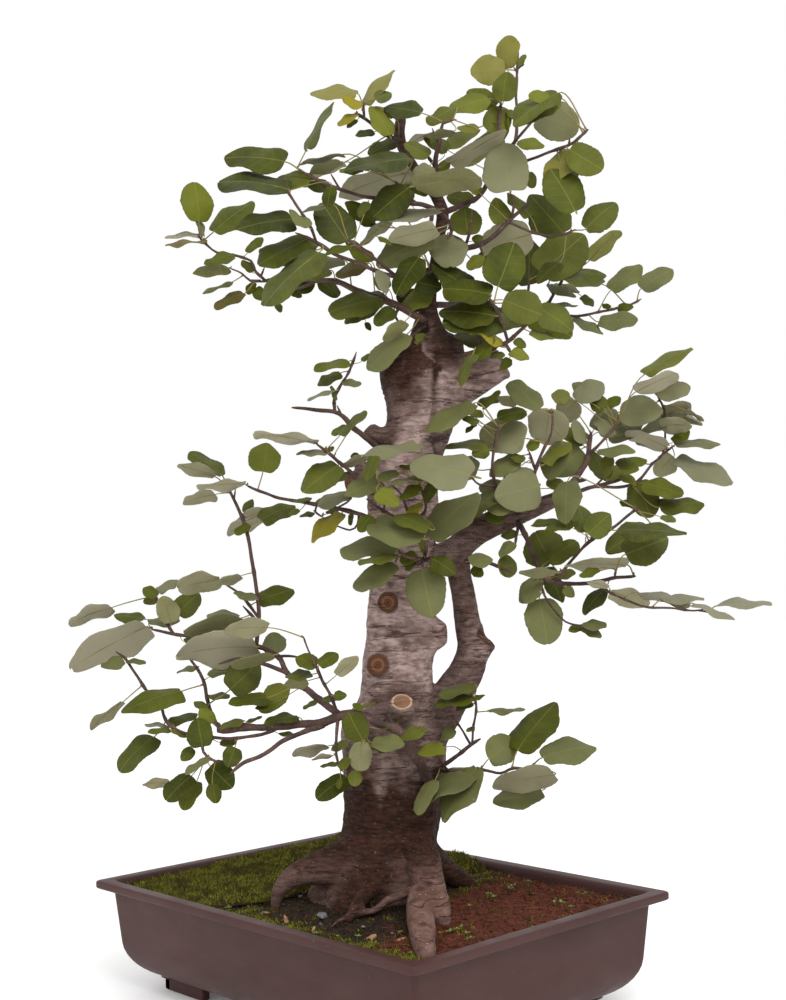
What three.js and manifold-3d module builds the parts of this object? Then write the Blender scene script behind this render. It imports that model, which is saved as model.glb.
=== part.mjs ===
// An Italian alder trained as a bonsai, standing in its rectangular plastic training pot.
// Millimetres, +Z up. The pot's long side lies along X.
import * as THREE from "three";
import { mergeVertices } from "three/addons/utils/BufferGeometryUtils.js";
import Module from "manifold-3d";

const wasm = await Module();
wasm.setup();

// Driving dimensions of the pot.
const potLength = 450;
const potWidth = 325;
const potHeight = 106;
const potCorner = 5;
const lipHeight = 7.5;
const lipOverhang = 12.5;
const lipEdge = 2;
const rimWidth = 12;
const wallSlope = 0.094;
const wallThickness = 4;
const bottomCurve = 26;
const bottomRise = 32;
const footHeight = 14;
const footThickness = 9;
const footLength = 62;
const footInset = 48;
const drainRadius = 9;
const drainX = 105;
const drainY = 62;
const gap = 0.35;

// The soil and the moss mat over its left half.
const soilTop = 97;
const soilMound = 9;
const mossRise = 17;

// The tree is set out from its front. A place is given as u across and z up, on the upright
// plane through the pot's middle, and v, its depth behind that plane. A place at depth v is
// slid along the line from a standing viewer, so the tree's front keeps its outline.
const viewer = new THREE.Vector3(29.4, -1380.2, 418.4);
const frontYaw = THREE.MathUtils.degToRad(46.68);
const across = new THREE.Vector3(Math.cos(frontYaw), Math.sin(frontYaw), 0);
const away = new THREE.Vector3(-Math.sin(frontYaw), Math.cos(frontYaw), 0);
const up = new THREE.Vector3(0, 0, 1);
const eye = new THREE.Vector3()
  .addScaledVector(across, viewer.x)
  .addScaledVector(away, viewer.y)
  .addScaledVector(up, viewer.z);

// Leaf blades.
const bladeThickness = 0.65;
const bladeAspect = 1.22;
const petioleHalf = 0.8;
const keepApart = 1.25;
const leastStemGap = 2.4;
const baseReach = 3.5;
const leastLeaf = 21;
const cuppedLeaf = 34;
const depthTries = [0, 5, -5, 10, -10, 15, -15, 20, -20, 26, -26, 32, -32, 40, -40];

// The trunk's outline from the front: height, left edge, right edge.
const trunkDepth = -24;
const trunkRows = [
  [78, -70, 76], [100, -60, 66], [128, -43, 62], [158, -26, 66], [190, -24, 69], [225, -24, 73],
  [258, -24, 75], [280, -8, 65], [310, -4, 62], [340, 0, 70], [372, 4, 65], [410, 9, 66],
  [450, 6, 71], [490, 6, 74], [522, 17, 82], [552, 26, 93], [590, 19, 102], [608, 30, 101],
  [620, 40, 99], [627, 54, 90],
];

// Limbs, roots and stubs that are one piece with the trunk: rows of u, z, v and radius.
const limbs = {
  leader: [
    [84, 602, -34, 13], [79, 622, -33, 10], [71, 644, -29, 8], [70, 664, -25, 7.4], [75, 690, -23, 7.2],
    [80, 720, -22, 6.8], [84, 742, -20, 7.5], [78, 760, -18, 6.8], [66, 776, -14, 6],
    [55, 793, -10, 6], [47, 808, -8, 6.6], [44, 822, -7, 7], [47, 838, -6, 6.2],
  ],
  leaderLeg: [[56, 608, -18, 11], [60, 632, -20, 8.5], [68, 654, -24, 7]],
  rightStub: [[70, 560, -24, 24], [96, 576, -26, 19], [118, 588, -28, 17], [139, 598, -30, 14]],
  secondTrunk: [
    [48, 240, -18, 24], [66, 264, -16, 21], [84, 288, -12, 18], [97, 310, -9, 16],
    [101, 330, -7, 14], [97, 352, -6, 12.5], [94, 378, -5, 11.5], [90, 402, -4, 11.5],
    [92, 422, -3, 13], [108, 437, 0, 13.5], [134, 448, 3, 12], [160, 457, 6, 9.5],
    [181, 465, 8, 7.5], [193, 473, 6, 5],
  ],
  limbRoot: [[58, 408, -20, 12], [76, 416, -12, 12], [94, 426, -4, 11]],
  sideStub: [[92, 304, -9, 14], [104, 322, -12, 13], [114, 335, -15, 11.5]],
  knob: [[50, 340, -26, 20], [66, 341, -28, 16], [77, 341, -30, 10]],
  upperStub: [[28, 528, -30, 10], [14, 532, -36, 8.5], [8, 538, -40, 8]],
  lowerStub: [[22, 490, -28, 14], [2, 488, -34, 12], [-14, 487, -40, 8.5]],
  lowerStubTip: [[2, 500, -34, 7], [-8, 515, -40, 4.2]],
  cutFront: [[33, 262, -40, 12], [33, 266, -66, 12], [33, 278, -78, 11]],
  scarLow: [[11, 313, -38, 12], [11, 313, -56, 11], [11, 313, -61, 8.5]],
  scarHigh: [[22, 372, -36, 11], [22, 372, -54, 10], [22, 372, -59, 8]],
  leftRoot: [
    [-20, 128, -36, 24], [-44, 124, -44, 17], [-62, 121, -50, 13], [-76, 115, -52, 10],
    [-86, 104, -50, 8], [-90, 94, -48, 6],
  ],
  frontRoot: [
    [44, 146, -44, 17], [50, 124, -66, 16], [55, 104, -86, 14], [60, 90, -102, 12],
    [64, 80, -114, 10],
  ],
  lowerFrontRoot: [
    [46, 98, -92, 11], [45, 82, -118, 12], [46, 66, -150, 12], [48, 50, -188, 10],
    [50, 40, -214, 8],
  ],
  crossingRoot: [
    [38, 100, -80, 5], [16, 92, -90, 4.2], [0, 82, -98, 3.8], [-20, 78, -104, 3.4],
    [-36, 71, -118, 2.6],
  ],
  middleRoot: [[0, 108, -58, 12], [-8, 96, -82, 8], [-18, 82, -104, 5]],
  rightRoot: [[52, 130, -18, 18], [72, 116, -6, 12], [92, 104, 8, 8]],
  backRoot: [[8, 128, 10, 18], [-12, 122, 40, 12], [-40, 116, 72, 8]],
};

// Leafy sprays. Twigs are rows of u, z, v and radius. Leaves are rows of base u, base z,
// tip u, tip z and the width that shows, below zero where the underside shows.
const sprays = {
  lowLeftSpray: {
    colour: 0x55602f,
    twigs: [
      [
        [58, 200, -50, 6.5], [50, 216, -72, 6], [42, 230, -80, 5.6], [35, 243, -84, 5.2],
        [27, 252, -86, 5.2], [14, 256, -86, 4.8], [2, 263, -84, 5], [-12, 268, -82, 5.2],
        [-28, 265, -78, 5.6], [-45, 259, -75, 5], [-62, 259, -71, 4.6], [-80, 258, -67, 4.6],
        [-100, 257, -63, 4.3], [-122, 257, -59, 4.8], [-143, 255, -56, 5.2],
      ],
      [
        [-42, 258, -75, 4], [-62, 251, -88, 3], [-82, 243, -102, 2.8], [-95, 233, -111, 2.6],
        [-118, 224, -126, 2.3], [-131, 214, -133, 1.6],
      ],
      [
        [-86, 256, -66, 2.4], [-100, 251, -64, 2], [-125, 247, -60, 1.9], [-145, 249, -58, 2],
        [-166, 252, -56, 2], [-187, 261, -42, 2], [-198, 282, 37, 2], [-209, 295, 44, 1.9],
        [-222, 315, 50, 1.8], [-229, 326, 52, 1.7], [-237, 332, 54, 1.2],
      ],
      [[-145, 249, -58, 1.8], [-157, 240, -67, 1.4], [-152, 230, -70, 1.2], [-139, 224, -70, 1]],
      [
        [-140, 256, -56, 3.2], [-148, 272, 2, 2.6], [-152, 286, 6, 2.2], [-154, 300, 8, 2],
        [-163, 318, 16, 1.8], [-172, 332, 25, 1.6],
      ],
      [
        [-27, 266, -78, 4.6], [-45, 282, -58, 4], [-62, 295, -40, 3.8], [-76, 309, -25, 3.4],
        [-84, 324, -15, 3], [-105, 334, 1, 2.6], [-128, 338, 17, 2.4], [-150, 342, 32, 2.3],
        [-182, 347, 52, 2.2], [-203, 352, 65, 1.6],
      ],
      [[-74, 307, -28, 3], [-98, 317, -21, 2.6], [-122, 322, -16, 2], [-140, 318, -11, 1.4]],
      [
        [-28, 268, -79, 2.2], [-34, 285, -86, 1.8], [-42, 300, -92, 1.6], [-47, 312, -96, 1.3],
        [-55, 330, -98, 1.1], [-59, 342, -98, 0.9],
      ],
      [[-84, 324, -15, 1.8], [-64, 323, -32, 1.3]],
      [[-182, 347, 52, 2], [-188, 357, 58, 1.8], [-196, 376, 66, 1.6], [-199, 385, 69, 1.2]],
      [
        [-104, 334, 0, 2.7], [-101, 360, 3, 2.6], [-102, 380, 7, 2.6], [-104, 400, 11, 2.4],
        [-108, 430, 18, 2.3], [-112, 450, 23, 2.2], [-118, 465, 30, 2], [-122, 474, 33, 1.8],
        [-129, 487, 40, 1.3],
      ],
      [[-102, 362, 3, 1.9], [-118, 383, 14, 1.6], [-133, 394, 22, 1.1]],
      [[-101, 356, 4, 1.8], [-116, 372, 4, 1.4]],
      [[-122, 474, 33, 1.3], [-120, 485, 29, 1]],
      [[-28, 265, -78, 2.2], [-30, 244, -88, 1.6], [-30, 228, -92, 1.2], [-26, 214, -94, 1]],
      [[2, 262, -85, 2], [-2, 250, -94, 1.6], [-4, 243, -97, 1.2]],
    ],
    leaves: [
      [-133, 497, -163, 521, 17], [-140, 496, -174, 509, -14], [-140, 479, -171, 472, -13],
      [-117, 401, -140, 394, -9], [-102, 376, -67, 388, 20],
      [-103, 378, -124, 386, 8], [-137, 398, -177, 392, -22], [-240, 374, -281, 361, -15],
      [-210, 362, -238, 367, 12], [-208, 355, -280, 320, -32], [-230, 324, -251, 318, 12],
      [-227, 323, -209, 321, 5], [-197, 383, -210, 392, 12], [-197, 382, -210, 378, -10],
      [-196, 387, -177, 399, 10], [-184, 358, -191, 384, -22], [-178, 366, -157, 386, 22],
      [-116, 352, -172, 353, -26], [-92, 351, -134, 352, -20], [-120, 361, -150, 366, 11],
      [-103, 333, -180, 331, -34], [-86, 327, -89, 347, 24], [-88, 325, -128, 316, -12],
      [-130, 293, -101, 319, 36], [-47, 314, -67, 323, 16], [-45, 314, -27, 326, 13],
      [-28, 305, -8, 322, -14], [-52, 306, -77, 304, 10], [-56, 300, -78, 297, -13],
      [-232, 284, -263, 261, -11], [-176, 293, -232, 278, 20], [-199, 281, -182, 284, 4],
      [-187, 263, -161, 272, 10], [-188, 259, -211, 264, 5], [-187, 257, -208, 256, 6],
      [-185, 257, -172, 250, 6], [-157, 240, -161, 269, 26], [-147, 262, -158, 277, 14],
      [-152, 276, -164, 283, 8], [-202, 251, -236, 222, 22], [-166, 239, -177, 228, 13],
      [-190, 207, -214, 208, -10], [-168, 213, -192, 192, 22], [-163, 208, -176, 182, 17],
      [-152, 230, -174, 216, 8], [-150, 222, -130, 201, 27], [-148, 205, -145, 187, 14],
      [-126, 239, -133, 221, 19], [-140, 244, -125, 243, 8], [-95, 285, -131, 282, 13],
      [-77, 297, -102, 273, 22], [-88, 280, -106, 275, 9], [-66, 266, -98, 263, 10],
      [-118, 264, -140, 258, 8], [-114, 262, -100, 268, 4], [-150, 288, -130, 287, 7],
      [-84, 251, -70, 250, 4], [-38, 238, -72, 231, -10], [-34, 229, -54, 226, -5],
      [-29, 221, -46, 219, 4], [-22, 208, -50, 190, 22], [-12, 214, -14, 200, 14],
      [-27, 207, -29, 197, 6], [-6, 241, -9, 214, -23], [-19, 227, -27, 216, 10],
      [-5, 243, -18, 269, 26], [-20, 241, -35, 234, 9], [54, 253, 31, 242, 12], [4, 240, 34, 239, 16],
      [5, 236, 21, 231, 7], [-31, 285, -19, 285, 10], [-5, 271, -13, 278, 6],
      [-4, 274, 8, 278, 4], [-47, 281, -61, 274, 5], [-28, 284, -43, 281, -7],
      [12, 253, 29, 258, 5], [-160, 316, -180, 312, 5], [-149, 306, -128, 318, 10],
      [-90, 462, -130, 442, -17], [-108, 449, -122, 441, 9], [-97, 453, -64, 468, 17],
      [-112, 461, -105, 474, 9], [-205, 358, -176, 361, 9], [-172, 340, -156, 342, 8],
    ],
  },
  midLeftSpray: {
    colour: 0x5b6633,
    twigs: [
      [
        [14, 448, -30, 3.2], [0, 456, -30, 2.7], [-25, 463, -15, 2.4], [-50, 468, 1, 2.2],
        [-75, 473, 18, 2], [-98, 481, 34, 1.8], [-110, 487, 42, 1.2],
      ],
      [[-3, 457, -28, 1.6], [-5, 447, -28, 1.3], [-12, 442, -25, 1.2], [-28, 447, -16, 0.9]],
      [[-42, 467, -4, 1.3], [-45, 460, -4, 1.1], [-37, 454, -12, 0.9]],
      [[-24, 463, -16, 1.3], [-12, 470, -27, 1.1], [-10, 478, -30, 0.9]],
    ],
    leaves: [
      [-94, 499, -89, 528, 30], [-112, 488, -157, 488, -11], [-20, 458, -50, 433, 15],
      [-11, 457, -12, 446, 6],
      [-46, 459, -60, 456, 5], [-45, 467, -30, 474, 6], [-12, 477, -42, 466, 14],
      [-34, 458, -20, 463, 6], [-60, 462, -70, 458, 6], [-62, 470, -48, 474, 5],
    ],
  },
  trunkLeftSpray: {
    colour: 0x5f6a35,
    twigs: [
      [
        [24, 468, -31, 3.5], [-3, 486, -51, 2.7], [-10, 497, -60, 2.2], [-20, 506, -67, 2],
        [-27, 513, -77, 1.8], [-35, 519, -78, 1.4], [-44, 526, -78, 1],
      ],
    ],
    leaves: [
      [-43, 526, -101, 537, -10], [-32, 515, -62, 517, 7], [-22, 504, -57, 480, 25],
      [-20, 532, 5, 556, 10], [-12, 540, -28, 534, 9], [12, 513, -20, 503, -8, -18],
      [-12, 497, -27, 488, 8], [-31, 517, -26, 522, 5],
    ],
  },
  upLeftSpray: {
    colour: 0x55602f,
    twigs: [
      [
        [28, 508, -34, 4.2], [4, 530, -54, 3.6], [-6, 538, -60, 3.3], [-14, 547, -62, 3],
        [-25, 555, -64, 2.6], [-42, 557, -66, 2.2], [-65, 560, -68, 1.5],
      ],
      [
        [-24, 555, -64, 2], [-24, 568, -62, 1.8], [-18, 580, -60, 1.6], [-10, 592, -58, 1.4],
        [-5, 604, -56, 1.2], [-2, 612, -56, 0.9],
      ],
      [[-18, 551, -63, 1.6], [-22, 561, -66, 1.2]],
    ],
    leaves: [
      [-10, 603, -43, 596, 10], [-18, 592, -40, 581, 11], [-16, 583, 2, 581, 7],
      [-22, 576, -50, 567, 4], [-23, 566, -26, 580, 5], [3, 603, 11, 610, 5],
    ],
  },
  frontSpray: {
    colour: 0x5a6a3c,
    twigs: [
      [
        [50, 406, -36, 3.4], [56, 412, -74, 2.6], [48, 413, -90, 2.2], [38, 416, -98, 1.8],
        [33, 421, -102, 1.4],
      ],
      [[56, 411, -74, 2], [60, 421, -88, 1.6], [60, 433, -96, 1.3]],
      [[55, 411, -76, 2], [67, 413, -86, 1.7], [76, 407, -94, 1.2]],
      [[34, 419, -100, 1.4], [30, 410, -106, 1.1]],
      [[56, 412, -80, 1.6], [56, 403, -100, 1.3]],
    ],
    leaves: [
      [32, 421, -23, 427, 25], [57, 432, 5, 449, 30], [8, 455, -4, 440, 14],
      [58, 415, 55, 439, 9], [33, 417, -5, 411, 8], [30, 408, -10, 387, 21],
      [50, 418, 35, 410, 12], [55, 403, 64, 358, 40], [66, 412, 87, 398, 19],
      [48, 411, 40, 402, 8], [61, 433, 110, 477, 32],
    ],
  },
  upperFrontSpray: {
    colour: 0x5d6c38,
    twigs: [
      [
        [46, 444, -50, 3.2], [40, 451, -76, 2.7], [30, 453, -90, 2.3], [12, 465, -104, 1.9],
        [4, 471, -110, 1.3],
      ],
      [[42, 450, -74, 2], [42, 461, -92, 1.7], [36, 476, -102, 1.4], [28, 483, -106, 1.1]],
      [[43, 448, -62, 2.4], [58, 455, -82, 1.8], [60, 469, -94, 1.5], [54, 483, -100, 1.1]],
      [[20, 459, -100, 1.3], [22, 476, -114, 1.1], [14, 490, -120, 1]],
    ],
    leaves: [
      [55, 522, 0, 513, 12], [13, 512, 4, 488, 13], [18, 489, -17, 475, 20],
      [15, 478, 35, 464, 18], [56, 466, 42, 452, 9], [55, 483, 36, 470, 11],
      [58, 490, 27, 486, 5], [35, 496, 15, 490, 10], [48, 499, 36, 502, 5],
      [70, 487, 60, 466, 13], [64, 441, 30, 456, 17, -12], [90, 491, 46, 488, -9],
    ],
  },
  lowRightSpray: {
    colour: 0x5d6a40,
    twigs: [
      [
        [56, 216, -30, 2.8], [75, 212, -52, 2.2], [90, 212, -60, 1.9], [103, 213, -66, 1.8],
        [113, 211, -70, 1.7], [125, 208, -74, 1.6], [137, 213, -78, 1.5], [150, 212, -82, 1.3],
        [156, 215, -84, 1],
      ],
      [
        [60, 212, -30, 3], [74, 219, -46, 2.6], [88, 229, -50, 2.4], [98, 236, -52, 2.2],
        [107, 241, -54, 1.8],
      ],
      [
        [98, 236, -52, 1.6], [100, 252, -56, 1.3], [103, 266, -60, 1.2], [103, 276, -62, 1.1],
        [99, 284, -64, 0.9],
      ],
      [[97, 236, -52, 1.5], [90, 248, -50, 1.3], [83, 259, -52, 1]],
      [[75, 212, -52, 1.6], [68, 222, -72, 1.3], [66, 236, -78, 1.1]],
    ],
    leaves: [
      [99, 281, 65, 274, 12], [103, 292, 68, 283, 10], [99, 278, 112, 283, 5],
      [100, 275, 84, 269, 6], [115, 267, 150, 269, 6], [141, 229, 179, 275, 34],
      [114, 222, 140, 240, 31], [165, 222, 216, 234, 25], [176, 206, 116, 196, -24],
      [163, 191, 117, 181, 24], [101, 213, 68, 166, 28], [62, 203, 43, 173, 15, -14],
      [72, 234, 47, 229, 14, -10], [81, 252, 66, 241, 13], [101, 251, 93, 249, 5],
    ],
  },
  rightUpperSpray: {
    colour: 0x626d45,
    twigs: [
      [
        [197, 477, 5, 4.2], [210, 493, 24, 3.6], [216, 505, 34, 3.2], [218, 518, 40, 2.7],
        [220, 529, 45, 2.1],
      ],
      [[216, 507, 35, 2.2], [226, 516, 30, 1.8], [234, 524, 33, 1.5], [248, 539, 39, 1.1]],
      [[203, 483, 12, 2.6], [214, 484, 23, 2.3]],
      [
        [196, 474, 4, 3.4], [205, 473, 12, 2.8], [222, 477, 28, 2.4], [240, 476, 40, 2.1],
        [258, 478, 52, 1.9], [268, 486, 57, 1.7], [278, 498, 62, 1.6], [288, 507, 67, 1.5],
        [291, 530, 66, 1.4], [290, 550, 63, 1.2], [284, 563, 56, 1],
      ],
      [[222, 477, 28, 2.3], [238, 481, 44, 2], [251, 485, 58, 1.8]],
      [[222, 477, 28, 1.5], [231, 486, 30, 1.1]],
      [[288, 507, 67, 1.3], [298, 514, 72, 1.1]],
    ],
    leaves: [
      [272, 583, 317, 609, 14], [264, 567, 303, 584, -17], [282, 566, 316, 570, 22],
      [288, 541, 315, 555, -20], [286, 534, 316, 534, -17], [311, 548, 328, 537, -5],
      [248, 548, 288, 548, 29], [248, 544, 219, 536, 23], [206, 561, 233, 576, 23],
      [233, 551, 221, 565, 17], [235, 552, 248, 563, 11], [292, 513, 254, 531, -15],
      [290, 511, 262, 521, 8], [300, 515, 342, 516, 10], [298, 518, 313, 529, 11],
      [226, 511, 261, 511, 11], [244, 496, 272, 503, 13], [298, 504, 280, 487, -21],
      [299, 502, 351, 477, 19], [262, 497, 230, 485, 15], [262, 481, 275, 447, 32],
      [268, 479, 305, 468, 17], [283, 456, 325, 460, 18], [262, 459, 245, 463, 9],
      [210, 513, 182, 490, 31], [215, 521, 190, 533, 18], [212, 518, 205, 543, 13],
      [206, 560, 189, 541, -25], [200, 562, 183, 566, -15], [240, 525, 226, 543, 14],
      [236, 507, 232, 488, 12], [247, 488, 262, 478, 9],
    ],
  },
  rightLowerSpray: {
    colour: 0x5f6a3a,
    twigs: [
      [
        [148, 446, -4, 3.4], [156, 428, -30, 2.9], [166, 402, -44, 2.6], [178, 388, -50, 2.5],
        [205, 385, -61, 2.4], [225, 387, -70, 2.2], [240, 390, -75, 2], [258, 391, -81, 1.9],
      ],
      [
        [182, 388, -51, 2], [192, 401, -57, 1.9], [208, 419, -64, 1.8], [223, 430, -69, 1.7],
        [240, 439, -75, 1.7], [252, 448, -80, 1.8], [262, 456, -84, 1.6],
      ],
      [
        [212, 385, -64, 1.7], [222, 383, -71, 1.5], [235, 375, -78, 1.4], [258, 364, -89, 1.4],
        [270, 361, -96, 1.3], [290, 360, -106, 1.2], [312, 357, -117, 1.1], [323, 358, -121, 1],
      ],
      [[316, 357, -118, 1], [335, 354, -126, 0.8]],
      [[238, 390, -75, 1.1], [240, 399, -81, 0.9]],
      [
        [166, 402, -44, 1.6], [171, 375, -52, 1.3], [186, 353, -57, 1.2], [197, 347, -62, 1.2],
        [207, 345, -66, 1.2],
      ],
      [[166, 402, -44, 1.5], [163, 390, -50, 1.3]],
      [[149, 443, -9, 2.4], [146, 432, -26, 1.6], [145, 424, -32, 1.1]],
    ],
    leaves: [
      [196, 483, 192, 443, 27], [214, 432, 236, 452, 25], [212, 434, 206, 461, 21],
      [178, 406, 163, 437, 42], [182, 396, 148, 399, -11], [166, 372, 172, 330, 37],
      [165, 392, 152, 368, 19], [172, 401, 188, 368, 21], [190, 382, 199, 373, -11],
      [184, 393, 201, 397, -10], [250, 402, 192, 405, -13], [223, 399, 205, 392, 8],
      [229, 380, 207, 357, 15], [232, 381, 212, 388, -8], [207, 345, 229, 347, 11],
      [208, 345, 193, 341, 8], [207, 343, 224, 335, 9], [249, 412, 290, 427, 35],
      [242, 435, 306, 432, 17], [284, 447, 298, 443, 7], [234, 377, 270, 364, -18],
      [282, 368, 322, 370, 9], [262, 375, 308, 363, 10], [312, 364, 350, 349, 7],
      [334, 361, 385, 366, 10], [186, 446, 160, 442, 9], [196, 441, 188, 447, 6],
      [143, 426, 129, 413, 11], [147, 433, 131, 434, 9],
    ],
  },
  rightTwigSpray: {
    colour: 0x5c6838,
    twigs: [
      [[92, 408, -10, 2.6], [112, 409, -24, 2.4], [128, 403, -34, 2], [144, 396, -40, 1.3]],
    ],
    leaves: [
      [128, 402, 146, 406, 21], [100, 409, 123, 411, 14, -12], [104, 404, 112, 395, 13],
    ],
  },
  rightInnerSpray: {
    colour: 0x66724a,
    twigs: [
      [[160, 458, -4, 2.8], [164, 488, -30, 2.2], [170, 505, -38, 1.9], [177, 521, -44, 1.6]],
      [[166, 494, -33, 1.5], [160, 513, -42, 1]],
      [[170, 505, -38, 1.5], [182, 530, -34, 1.3], [184, 552, -30, 1]],
    ],
    leaves: [
      [171, 553, 144, 581, 22], [157, 525, 113, 533, 35], [181, 552, 176, 519, -42],
      [170, 480, 128, 470, 42], [150, 497, 137, 484, 13], [175, 500, 200, 520, 13],
      [155, 503, 142, 511, 9], [160, 514, 170, 524, 11], [192, 478, 176, 484, 12],
    ],
  },
  rightMidSpray: {
    colour: 0x66724a,
    twigs: [
      [[134, 450, -8, 2.8], [128, 478, -36, 2.2], [125, 503, -50, 1.8], [132, 538, -56, 1.3]],
      [[128, 480, -37, 1.7], [112, 482, -56, 1.4], [104, 490, -62, 1.1]],
      [[131, 463, -21, 1.9], [120, 466, -40, 1.3]],
    ],
    leaves: [
      [118, 554, 133, 572, 8], [158, 551, 131, 546, 13], [148, 556, 131, 567, -9],
      [104, 490, 46, 506, 35, -58], [142, 480, 112, 478, 16], [119, 467, 140, 455, 19],
      [118, 455, 134, 446, 13], [104, 553, 118, 547, 8], [109, 560, 61, 535, 17],
      [118, 521, 80, 519, 10], [122, 515, 106, 511, 14], [110, 540, 100, 532, 5],
    ],
  },
  branchSpray: {
    colour: 0x5c6c2c,
    twigs: [
      [
        [86, 606, -40, 3], [100, 606, -56, 2.7], [115, 610, -62, 2.6], [130, 613, -66, 2.5],
        [143, 618, -68, 2.4], [155, 628, -70, 2], [166, 638, -72, 1.4],
      ],
      [[143, 618, -68, 1.9], [138, 635, -73, 1.7], [131, 652, -76, 1.6], [125, 662, -77, 1.1]],
      [[117, 610, -62, 1.7], [116, 625, -66, 1.4], [119, 640, -68, 1]],
      [[140, 617, -68, 1.9], [146, 606, -72, 1.4]],
      [[102, 607, -57, 1.5], [108, 600, -64, 1.2]],
    ],
    leaves: [
      [113, 602, 129, 623, 14], [126, 606, 140, 605, 7], [146, 609, 163, 601, 12],
      [144, 602, 136, 591, 10], [109, 607, 95, 577, 11], [120, 640, 106, 627, 13],
      [132, 643, 77, 651, 31], [128, 664, 82, 672, 26], [172, 650, 205, 628, 25],
      [140, 658, 176, 643, 34], [165, 627, 187, 620, 9], [135, 671, 152, 713, 42],
      [150, 620, 160, 612, 9], [55, 621, 68, 624, 12],
    ],
  },
  crownLeftSpray: {
    colour: 0x56622c,
    twigs: [
      [
        [66, 640, -34, 4.6], [40, 654, -38, 4.2], [20, 663, -26, 4], [0, 671, -12, 3.7],
        [-20, 680, 2, 3.4], [-42, 682, 15, 3], [-75, 684, 36, 2.6], [-92, 682, 46, 2.2],
      ],
      [[-38, 682, 12, 2.6], [-50, 676, 18, 2.3], [-70, 671, 29, 2.2], [-85, 665, 37, 1.7]],
      [[-88, 683, 43, 2], [-97, 692, 51, 1.8], [-101, 702, 54, 1.6], [-118, 708, 66, 1.5],
        [-134, 711, 77, 1.5], [-144, 720, 86, 1.4], [-151, 727, 92, 1]],
      [[-92, 682, 46, 1.7], [-102, 683, 49, 1.4], [-110, 690, 51, 1.2], [-122, 696, 57, 0.9]],
      [[-92, 686, 47, 1.6], [-88, 695, 41, 1.3]],
      [[-42, 682, 15, 1.4], [-40, 692, 6, 1.1]],
      [[40, 654, -38, 2], [36, 645, -47, 1.6], [44, 634, -56, 1.2]],
    ],
    leaves: [
      [-150, 741, -153, 779, 30], [-136, 731, -98, 761, 22], [-149, 729, -183, 727, -5],
      [-144, 720, -182, 721, -5], [-147, 727, -150, 745, 7], [-104, 710, -90, 725, 10],
      [-118, 708, -146, 701, 11], [-122, 696, -157, 691, -12], [-120, 682, -148, 672, 5],
      [-108, 671, -137, 658, 11], [-100, 691, -109, 703, 9], [-98, 681, -105, 670, 9],
      [-77, 661, -73, 652, 7], [-62, 671, -53, 666, 7], [-42, 682, -57, 671, 15],
      [-36, 681, -17, 667, 13], [-25, 691, -48, 683, -11], [-12, 700, -48, 697, 13],
      [10, 697, -20, 686, 13], [22, 662, -27, 653, 24], [25, 668, -10, 644, 22],
      [35, 652, 16, 638, 15], [45, 640, 24, 622, -13], [47, 628, 8, 596, 21],
      [30, 672, 18, 685, -15], [-97, 676, -90, 664, 12], [8, 640, 12, 632, 6],
      [-72, 672, -80, 680, 8],
    ],
  },
  crownLowSpray: {
    colour: 0x59662c,
    twigs: [
      [
        [74, 690, -26, 4], [58, 684, -44, 3.4], [33, 684, -62, 2.7], [15, 691, -74, 2.5],
        [0, 698, -83, 2.4], [-20, 706, -93, 2.2], [-30, 713, -98, 2], [-43, 721, -105, 1.8],
        [-58, 728, -111, 1.2],
      ],
      [[36, 685, -60, 2], [18, 701, -77, 1.9], [2, 712, -90, 1.8], [-8, 720, -97, 1.3]],
      [[-38, 719, -103, 1.7], [-44, 735, -111, 1.5], [-56, 755, -119, 1.5], [-66, 770, -124, 1.2]],
      [[58, 684, -44, 3.2], [48, 670, -56, 2.8], [42, 664, -62, 1.8]],
    ],
    leaves: [
      [-60, 741, -115, 733, 22], [-38, 711, -94, 712, 26], [-35, 709, -92, 662, 24],
      [-8, 718, -32, 756, 35], [-45, 733, -63, 750, 11], [-24, 755, -52, 748, -5],
      [-22, 772, -27, 753, 14], [-63, 770, -131, 781, 21], [12, 756, 3, 742, 10],
      [19, 738, 4, 736, 11], [37, 744, 3, 713, -11],
      [60, 701, 36, 668, 25, -10], [57, 677, 81, 671, 19], [-5, 714, -30, 708, 8],
      [22, 722, 34, 714, 5],
    ],
  },
  crownUpSpray: {
    colour: 0x616e35,
    twigs: [
      [
        [82, 744, -22, 3.8], [64, 752, -44, 3.2], [40, 756, -56, 2.6], [15, 760, -66, 2.3],
        [-12, 768, -74, 2], [-40, 781, -80, 1.6], [-56, 791, -82, 1],
      ],
      [[60, 753, -45, 1.8], [46, 765, -58, 1.5], [40, 775, -64, 1.1]],
      [[73, 748, -34, 3], [72, 734, -44, 2.4], [62, 727, -52, 1.8]],
      [[73, 748, -34, 2.8], [88, 738, -44, 2.1], [92, 726, -50, 1.9], [88, 718, -58, 1.5]],
      [[-14, 769, -74, 1.3], [-22, 784, -78, 1.1]],
    ],
    leaves: [
      [-45, 809, -20, 854, 9], [-66, 797, -125, 803, 25], [-42, 778, -77, 781, 17],
      [-12, 795, -43, 787, -11], [-10, 803, -55, 794, -6], [54, 797, -9, 790, 17],
      [56, 784, -17, 766, -27], [52, 769, 17, 743, 31], [80, 747, 28, 739, 10, -20],
      [72, 721, 19, 697, 29],
      [78, 729, 31, 720, -23], [88, 722, 90, 694, 37], [8, 787, -14, 787, 7],
      [60, 746, 72, 742, 8],
    ],
  },
  crownTopSpray: {
    colour: 0x6d7a35,
    twigs: [
      [
        [82, 752, -18, 3.8], [79, 775, -26, 3], [78, 795, -32, 2.8], [82, 812, -36, 2.5],
        [87, 833, -40, 1.8],
      ],
      [[78, 790, -31, 1.7], [70, 800, -42, 1.3]],
      [[82, 812, -36, 1.6], [76, 826, -44, 1.2]],
      [[86, 830, -40, 1.2], [98, 834, -46, 1]],
    ],
    leaves: [
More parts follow.
